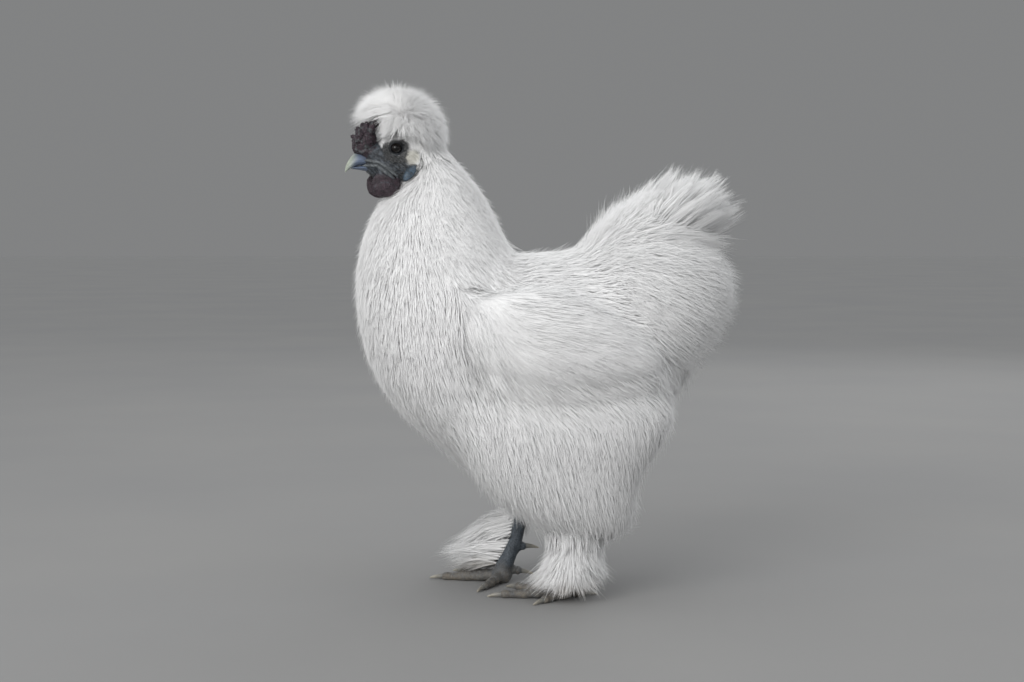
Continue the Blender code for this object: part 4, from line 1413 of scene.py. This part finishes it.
def calculate(tree, operation, first, second):
    node = tree.nodes.new("ShaderNodeMath")
    node.operation = operation
    for socket, value in zip(node.inputs, (first, second)):
        feed(tree, socket, value)
    return node.outputs[0]


def spread(tree, value, low, high, newLow=0.0, newHigh=1.0):
    node = tree.nodes.new("ShaderNodeMapRange")
    for socket, number in zip(node.inputs, (value, low, high, newLow, newHigh)):
        feed(tree, socket, number)
    return node.outputs["Result"]


def noiseOf(tree, scale, detail, stretch=None):
    place = tree.nodes.new("ShaderNodeTexCoord").outputs["Object"]
    if stretch:
        mapping = tree.nodes.new("ShaderNodeMapping")
        mapping.inputs["Scale"].default_value = stretch
        tree.links.new(place, mapping.inputs["Vector"])
        place = mapping.outputs["Vector"]
    noise = tree.nodes.new("ShaderNodeTexNoise")
    for label, value in (("Detail", detail), ("Vector", place), ("Scale", scale)):
        feed(tree, noise.inputs[label], value)
    return noise.outputs["Fac"]


def attributeOf(tree, name):
    node = tree.nodes.new("ShaderNodeAttribute")
    node.attribute_name = name
    return node.outputs["Fac"]


def maskTimes(tree, name, factor):  # a mask made weaker, by a number or by another mask
    return calculate(tree, "MULTIPLY", attributeOf(tree, name), factor)


def fleshGrainAndShadeGroup():  # pebbled skin: a tone for colour, paler on the pebbles with painted shade in the creases between them and blotches that vary at random, and a height for relief
    group, takes, gives = newGroup(
        "fleshGrainAndShade",
        [("Pebble Scale", "NodeSocketFloat", 900.0), ("Blotch Scale", "NodeSocketFloat", 160.0)],
        [("Tone", "NodeSocketFloat"), ("Height", "NodeSocketFloat")],
    )
    cells = group.nodes.new("ShaderNodeTexVoronoi")
    cells.feature = "SMOOTH_F1"
    cells.inputs["Smoothness"].default_value = 0.35
    place = group.nodes.new("ShaderNodeTexCoord").outputs["Object"]
    group.links.new(place, cells.inputs["Vector"])
    group.links.new(takes.outputs["Pebble Scale"], cells.inputs["Scale"])
    dome = spread(group, cells.outputs["Distance"], 0.75, 0.05)
    blotch = noiseOf(group, takes.outputs["Blotch Scale"], 3.0)
    # painted shade: the tone follows the pebbles' height, darker in the creases between them
    parts = [calculate(group, "MULTIPLY", value, share) for value, share in ((dome, 0.55), (blotch, 0.60))]
    tone = calculate(group, "ADD", *parts)
    group.links.new(spread(group, tone, 0.25, 0.95), gives.inputs["Tone"])
    group.links.new(dome, gives.inputs["Height"])
    return group


def dustGroup():  # dry soil on the lowest parts
    group, takes, gives = newGroup(
        "soilDust",
        [("Clean", "NodeSocketColor", (0.8, 0.8, 0.8, 1)), ("Soil", "NodeSocketColor", (0.33, 0.26, 0.18, 1)),
         ("Amount", "NodeSocketFloat", 0.0)],
        [("Color", "NodeSocketColor")],
    )
    patches = spread(group, noiseOf(group, 420.0, 4.0), 0.25, 0.75, 0.35, 1.0)
    share = calculate(group, "MULTIPLY", takes.outputs["Amount"], patches)
    colour = mixColours(group, share, takes.outputs["Clean"], takes.outputs["Soil"])
    group.links.new(colour, gives.inputs["Color"])
    return group


def hornGroup():  # fine growth lines along bill and claws
    group, takes, gives = newGroup(
        "hornGrain",
        [("Base", "NodeSocketColor", (0.2, 0.2, 0.2, 1)), ("Pale", "NodeSocketColor", (0.4, 0.4, 0.4, 1)),
         ("Share", "NodeSocketFloat", 0.0)],
        [("Color", "NodeSocketColor"), ("Height", "NodeSocketFloat")],
    )
    lines = noiseOf(group, 900.0, 3.0, (0.35, 1.2, 1.2))
    blotch = noiseOf(group, 260.0, 2.0)
    colour = mixColours(group, takes.outputs["Share"], takes.outputs["Base"], takes.outputs["Pale"])
    dark = spread(group, calculate(group, "ADD", lines, blotch), 0.7, 1.3, 0.72, 1.12)
    toned = group.nodes.new("ShaderNodeVectorMath")
    toned.operation = "SCALE"
    group.links.new(colour, toned.inputs[0])
    group.links.new(dark, toned.inputs["Scale"])
    group.links.new(toned.outputs[0], gives.inputs["Color"])
    group.links.new(lines, gives.inputs["Height"])
    return group


fleshGrainAndShade, soilDust, hornGrain = fleshGrainAndShadeGroup(), dustGroup(), hornGroup()


def place(tree, group, **values):
    node = tree.nodes.new("ShaderNodeGroup")
    node.node_tree = group
    for label, value in values.items():
        feed(tree, node.inputs[label.replace("_", " ")], value)
    return node


def newMaterial(name, roughness, **settings):  # settings are named for the surface's other sockets
    material = bpy.data.materials.new(name)
    material.use_nodes = True
    surface = material.node_tree.nodes["Principled BSDF"]
    surface.inputs["Roughness"].default_value = roughness
    for label, value in settings.items():
        surface.inputs[label.replace("_", " ")].default_value = value
    return material, material.node_tree, surface


def bumpInto(tree, surface, height, depth, strength):
    bump = tree.nodes.new("ShaderNodeBump")
    bump.inputs["Strength"].default_value = strength
    bump.inputs["Distance"].default_value = depth
    tree.links.new(height, bump.inputs["Height"])
    tree.links.new(bump.outputs["Normal"], surface.inputs["Normal"])


def dusted(tree, surface, clean, soil):
    dusty = place(tree, soilDust, Clean=clean, Soil=soil, Amount=attributeOf(tree, "dustTone"))
    tree.links.new(dusty.outputs["Color"], surface.inputs["Base Color"])


# soft is the duller white of some strands at random, and the painted shade towards every strand's root
plumageColours = {
    "bright": (0.950, 0.950, 0.950, 1), "soft": (0.905, 0.905, 0.905, 1), "dark": (0.010, 0.012, 0.014, 1),
    "cream": (0.780, 0.755, 0.660, 1), "soil": (0.62, 0.52, 0.39, 1),
}
skinColours = {
    "faceDark": (0.014, 0.018, 0.024, 1), "facePale": (0.135, 0.155, 0.180, 1),
    "combDark": (0.009, 0.006, 0.009, 1), "combPale": (0.078, 0.045, 0.062, 1),
    "lobeShadedRim": (0.026, 0.044, 0.062, 1), "lobePale": (0.120, 0.185, 0.260, 1),
    "legDark": (0.028, 0.035, 0.045, 1), "legPale": (0.120, 0.145, 0.170, 1),
    "foldHighlight": (0.245, 0.265, 0.270, 1), "combHighlightGrey": (0.105, 0.120, 0.125, 1),
    "socket": (0.006, 0.007, 0.009, 1), "soil": (0.270, 0.225, 0.165, 1), "coated": (0.90, 0.90, 0.90, 1),
}


def skinMaterial():
    material, tree, surface = newMaterial("silkieSkin", 0.52)
    flesh = place(tree, fleshGrainAndShade, Pebble_Scale=1000.0, Blotch_Scale=190.0)
    fine = place(tree, fleshGrainAndShade, Pebble_Scale=1900.0, Blotch_Scale=340.0)
    tone, fineShadedTone = flesh.outputs["Tone"], fine.outputs["Tone"]
    # Painted shade: the face is darker in its creases, and in the creases between its pebbles
    creaseShaded = maskTimes(tree, "creaseTone", spread(tree, fineShadedTone, 0.0, 1.0, 0.45, 1.0))
    # The earlobe is paler in its swollen middle and darker towards its rim: painted shade at the rim
    lobed = maskTimes(tree, "lobeHeart", spread(tree, fineShadedTone, 0.0, 1.0, 0.55, 1.0))
    colour = skinColours["coated"]
    for mask, dark, pale, grain in (
        ("faceTone", "faceDark", "facePale", creaseShaded), ("legTone", "legDark", "legPale", tone),
        ("combTone", "combDark", "combPale", tone), ("wattleTone", "combDark", "combPale", fineShadedTone),
        ("lobeTone", "lobeShadedRim", "lobePale", lobed),
    ):
        patch = mixColours(tree, grain, skinColours[dark], skinColours[pale])
        colour = mixColours(tree, attributeOf(tree, mask), colour, patch)
    # Painted highlights: pale along the folds at the gape, away from their creases
    foldHighlights = spread(tree, creaseShaded, 0.15, 0.75, 0.30, 0.95)
    # Painted highlights: grey spots strewn by noise over the comb
    combHighlightSpots = spread(tree, noiseOf(tree, 330.0, 2.0), 0.52, 0.66, 0.0, 0.75)
    for mask, factor, over in (
        ("foldTone", foldHighlights, skinColours["foldHighlight"]), ("combTone", combHighlightSpots, skinColours["combHighlightGrey"]),
        # socketTone: darker round the eyes, with painted shade in the gape's groove
        ("socketTone", 0.85, skinColours["socket"]), ("creamTone", 0.6, plumageColours["cream"]),
    ):
        colour = mixColours(tree, maskTimes(tree, mask, factor), colour, over)
    dusted(tree, surface, colour, skinColours["soil"])
    bumpInto(tree, surface, fine.outputs["Height"], 0.00022, 0.8)
    return material


def plumageMaterial():
    material, tree, surface = newMaterial(
        "silkiePlumage", 0.72, Specular_IOR_Level=0.12, Sheen_Weight=0.05, Sheen_Roughness=0.45)
    # Painted shade: each strand greyer towards its root, deep in the coat
    shadeToRoot = spread(tree, attributeOf(tree, "alongTuft"), 0.75, 0.0, 0.0, 0.5)
    share = calculate(tree, "ADD", maskTimes(tree, "tuftShade", 0.55), shadeToRoot)
    colour = mixColours(tree, share, plumageColours["bright"], plumageColours["soft"])
    colour = mixColours(tree, maskTimes(tree, "creamTone", 0.8), colour, plumageColours["cream"])
    colour = mixColours(tree, attributeOf(tree, "darkTone"), colour, plumageColours["dark"])
    dusted(tree, surface, colour, plumageColours["soil"])
    return material


hornColours = {
    "bill": (0.115, 0.150, 0.220, 1), "billTip": (0.430, 0.470, 0.380, 1), "billCrown": (0.05, 0.06, 0.09, 1),
    "claw": (0.145, 0.150, 0.150, 1), "clawTip": (0.400, 0.370, 0.300, 1),
}


def hornMaterial(name, roughness, kind):  # paler towards the tip, and darker where the mesh has a crown
    material, tree, surface = newMaterial(name, roughness)
    horn = place(tree, hornGrain, Base=hornColours[kind], Pale=hornColours[kind + "Tip"],
                 Share=attributeOf(tree, "tipTone"))
    colour = horn.outputs["Color"]
    if kind + "Crown" in hornColours:
        colour = mixColours(tree, maskTimes(tree, "crownTone", 0.35), colour, hornColours[kind + "Crown"])
    tree.links.new(colour, surface.inputs["Base Color"])
    bumpInto(tree, surface, horn.outputs["Height"], 0.00008, 0.5)
    return material


eyeColours = {"brownDark": (0.003, 0.002, 0.002, 1), "brownPale": (0.009, 0.005, 0.003, 1),
              "rim": (0.008, 0.008, 0.010, 1), "pupil": (0.002, 0.002, 0.002, 1)}


def eyeMaterial():
    material, tree, surface = newMaterial(
        "eyeWet", 0.08, Specular_IOR_Level=0.20, Coat_Weight=0.35, Coat_Roughness=0.02)
    brown = mixColours(tree, noiseOf(tree, 1500.0, 3.0), eyeColours["brownDark"], eyeColours["brownPale"])
    ring = mixColours(tree, attributeOf(tree, "irisTone"), eyeColours["rim"], brown)
    colour = mixColours(tree, attributeOf(tree, "pupilTone"), ring, eyeColours["pupil"])
    tree.links.new(colour, surface.inputs["Base Color"])
    return material


def dress():
    looks = {"skin": skinMaterial(), "plumage": plumageMaterial(), "eye": eyeMaterial(),
             "bill": hornMaterial("billHorn", 0.36, "bill"), "claw": hornMaterial("clawHorn", 0.42, "claw")}

    def wear(obj, look, slotName, *nodes):
        obj.data.materials.clear()
        obj.data.materials.append(looks[look])
        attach(obj, "root")
        if nodes:
            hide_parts(*nodes)

    kept = ("beak", "eye", "claw")
    wear(skin, "skin", "face_skin", *[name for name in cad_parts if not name.startswith(kept)])
    for coat in coats:
        wear(coat, "plumage", "dusty_plumage" if "leg" in coat.name else "plumage")
    wear(billUpper, "bill", "beak_horn", "beak_upper")
    wear(billLower, "bill", "beak_horn", "beak_lower")
    wear(eyeLeft, "eye", "eye", "eye_left")
    wear(eyeRight, "eye", "eye", "eye_right")
    for clawName, obj in claws.items():
        wear(obj, "claw", "claw_horn", clawName)


dress()
report("materials")


# Floor, light and camera

studio = {
    "floorSize": 30.0, "floorTones": ((0.254, 0.254, 0.254, 1), (0.274, 0.272, 0.268, 1)),
    "air": (0.97, 0.985, 1.0, 1), "airStrength": 0.67, "backdrop": (0.222, 0.225, 0.227, 1),
    "lamps": (  # place, size, power, colour; each one faces the bird
        ((-1.2, -2.1, 1.25), 1.8, 38.0, (1.0, 0.99, 0.975)),
        ((0.3, -0.6, 2.3), 2.0, 4.2, (1.0, 1.0, 1.0)),
        ((0.9, 1.7, 1.3), 1.2, 6.8, (1.0, 1.0, 1.0)),
    ),
    "aim": (0.0, 0.0, 0.18),
    "camera": (-0.021, -1.167, 0.248), "down": 3.7, "lens": 60.0, "sensor": 36.0,
}


def addToStudio(name, data, spot, turn):
    made = addObject(name, data)
    made.location, made.rotation_euler = spot, turn
    return made


def buildFloor():
    form = bmesh.new()
    bmesh.ops.create_grid(form, x_segments=1, y_segments=1, size=studio["floorSize"] / 2)
    floor = addObject("floor", meshOf(form, "floor"))
    material, tree, surface = newMaterial("paleFloor", 0.9)
    tone = spread(tree, noiseOf(tree, 3.0, 3.0), 0.3, 0.7)
    tree.links.new(mixColours(tree, tone, *studio["floorTones"]), surface.inputs["Base Color"])
    floor.data.materials.append(material)


def buildAir():  # the camera sees the backdrop, and the bird is lit by the air
    world = bpy.data.worlds.new("studioAir")
    world.use_nodes = True
    tree = world.node_tree
    air = tree.nodes["Background"]
    air.inputs["Color"].default_value = studio["air"]
    air.inputs["Strength"].default_value = studio["airStrength"]
    backdrop = tree.nodes.new("ShaderNodeBackground")
    backdrop.inputs["Color"].default_value = studio["backdrop"]
    either = tree.nodes.new("ShaderNodeMixShader")
    tree.links.new(tree.nodes.new("ShaderNodeLightPath").outputs["Is Camera Ray"], either.inputs[0])
    tree.links.new(air.outputs[0], either.inputs[1])
    tree.links.new(backdrop.outputs[0], either.inputs[2])
    tree.links.new(either.outputs[0], tree.nodes["World Output"].inputs["Surface"])
    bpy.context.scene.world = world


def buildLamps():
    for number, (spot, size, power, colour) in enumerate(studio["lamps"]):
        lamp = bpy.data.lights.new(f"softbox{number}", "AREA")
        lamp.shape = "DISK"
        lamp.size, lamp.energy, lamp.color = size, power, colour
        aim = Vector(studio["aim"]) - Vector(spot)
        addToStudio(lamp.name, lamp, spot, aim.to_track_quat("-Z", "Y").to_euler())


def buildCamera():
    lens = bpy.data.cameras.new("camera")
    lens.lens, lens.sensor_width = studio["lens"], studio["sensor"]
    lens.clip_start, lens.clip_end = 0.05, 60.0
    turn = (math.radians(90 - studio["down"]), 0, 0)
    bpy.context.scene.camera = addToStudio("camera", lens, studio["camera"], turn)


buildFloor()
buildAir()
buildLamps()
buildCamera()
bpy.context.scene.view_settings.view_transform = "Standard"
report("studio")

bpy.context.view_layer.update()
pieces = [skin, billUpper, billLower, eyeLeft, eyeRight, *coats, *claws.values()]
report(f"{sum(len(trianglesOf(piece.data)) for piece in pieces)} triangles")
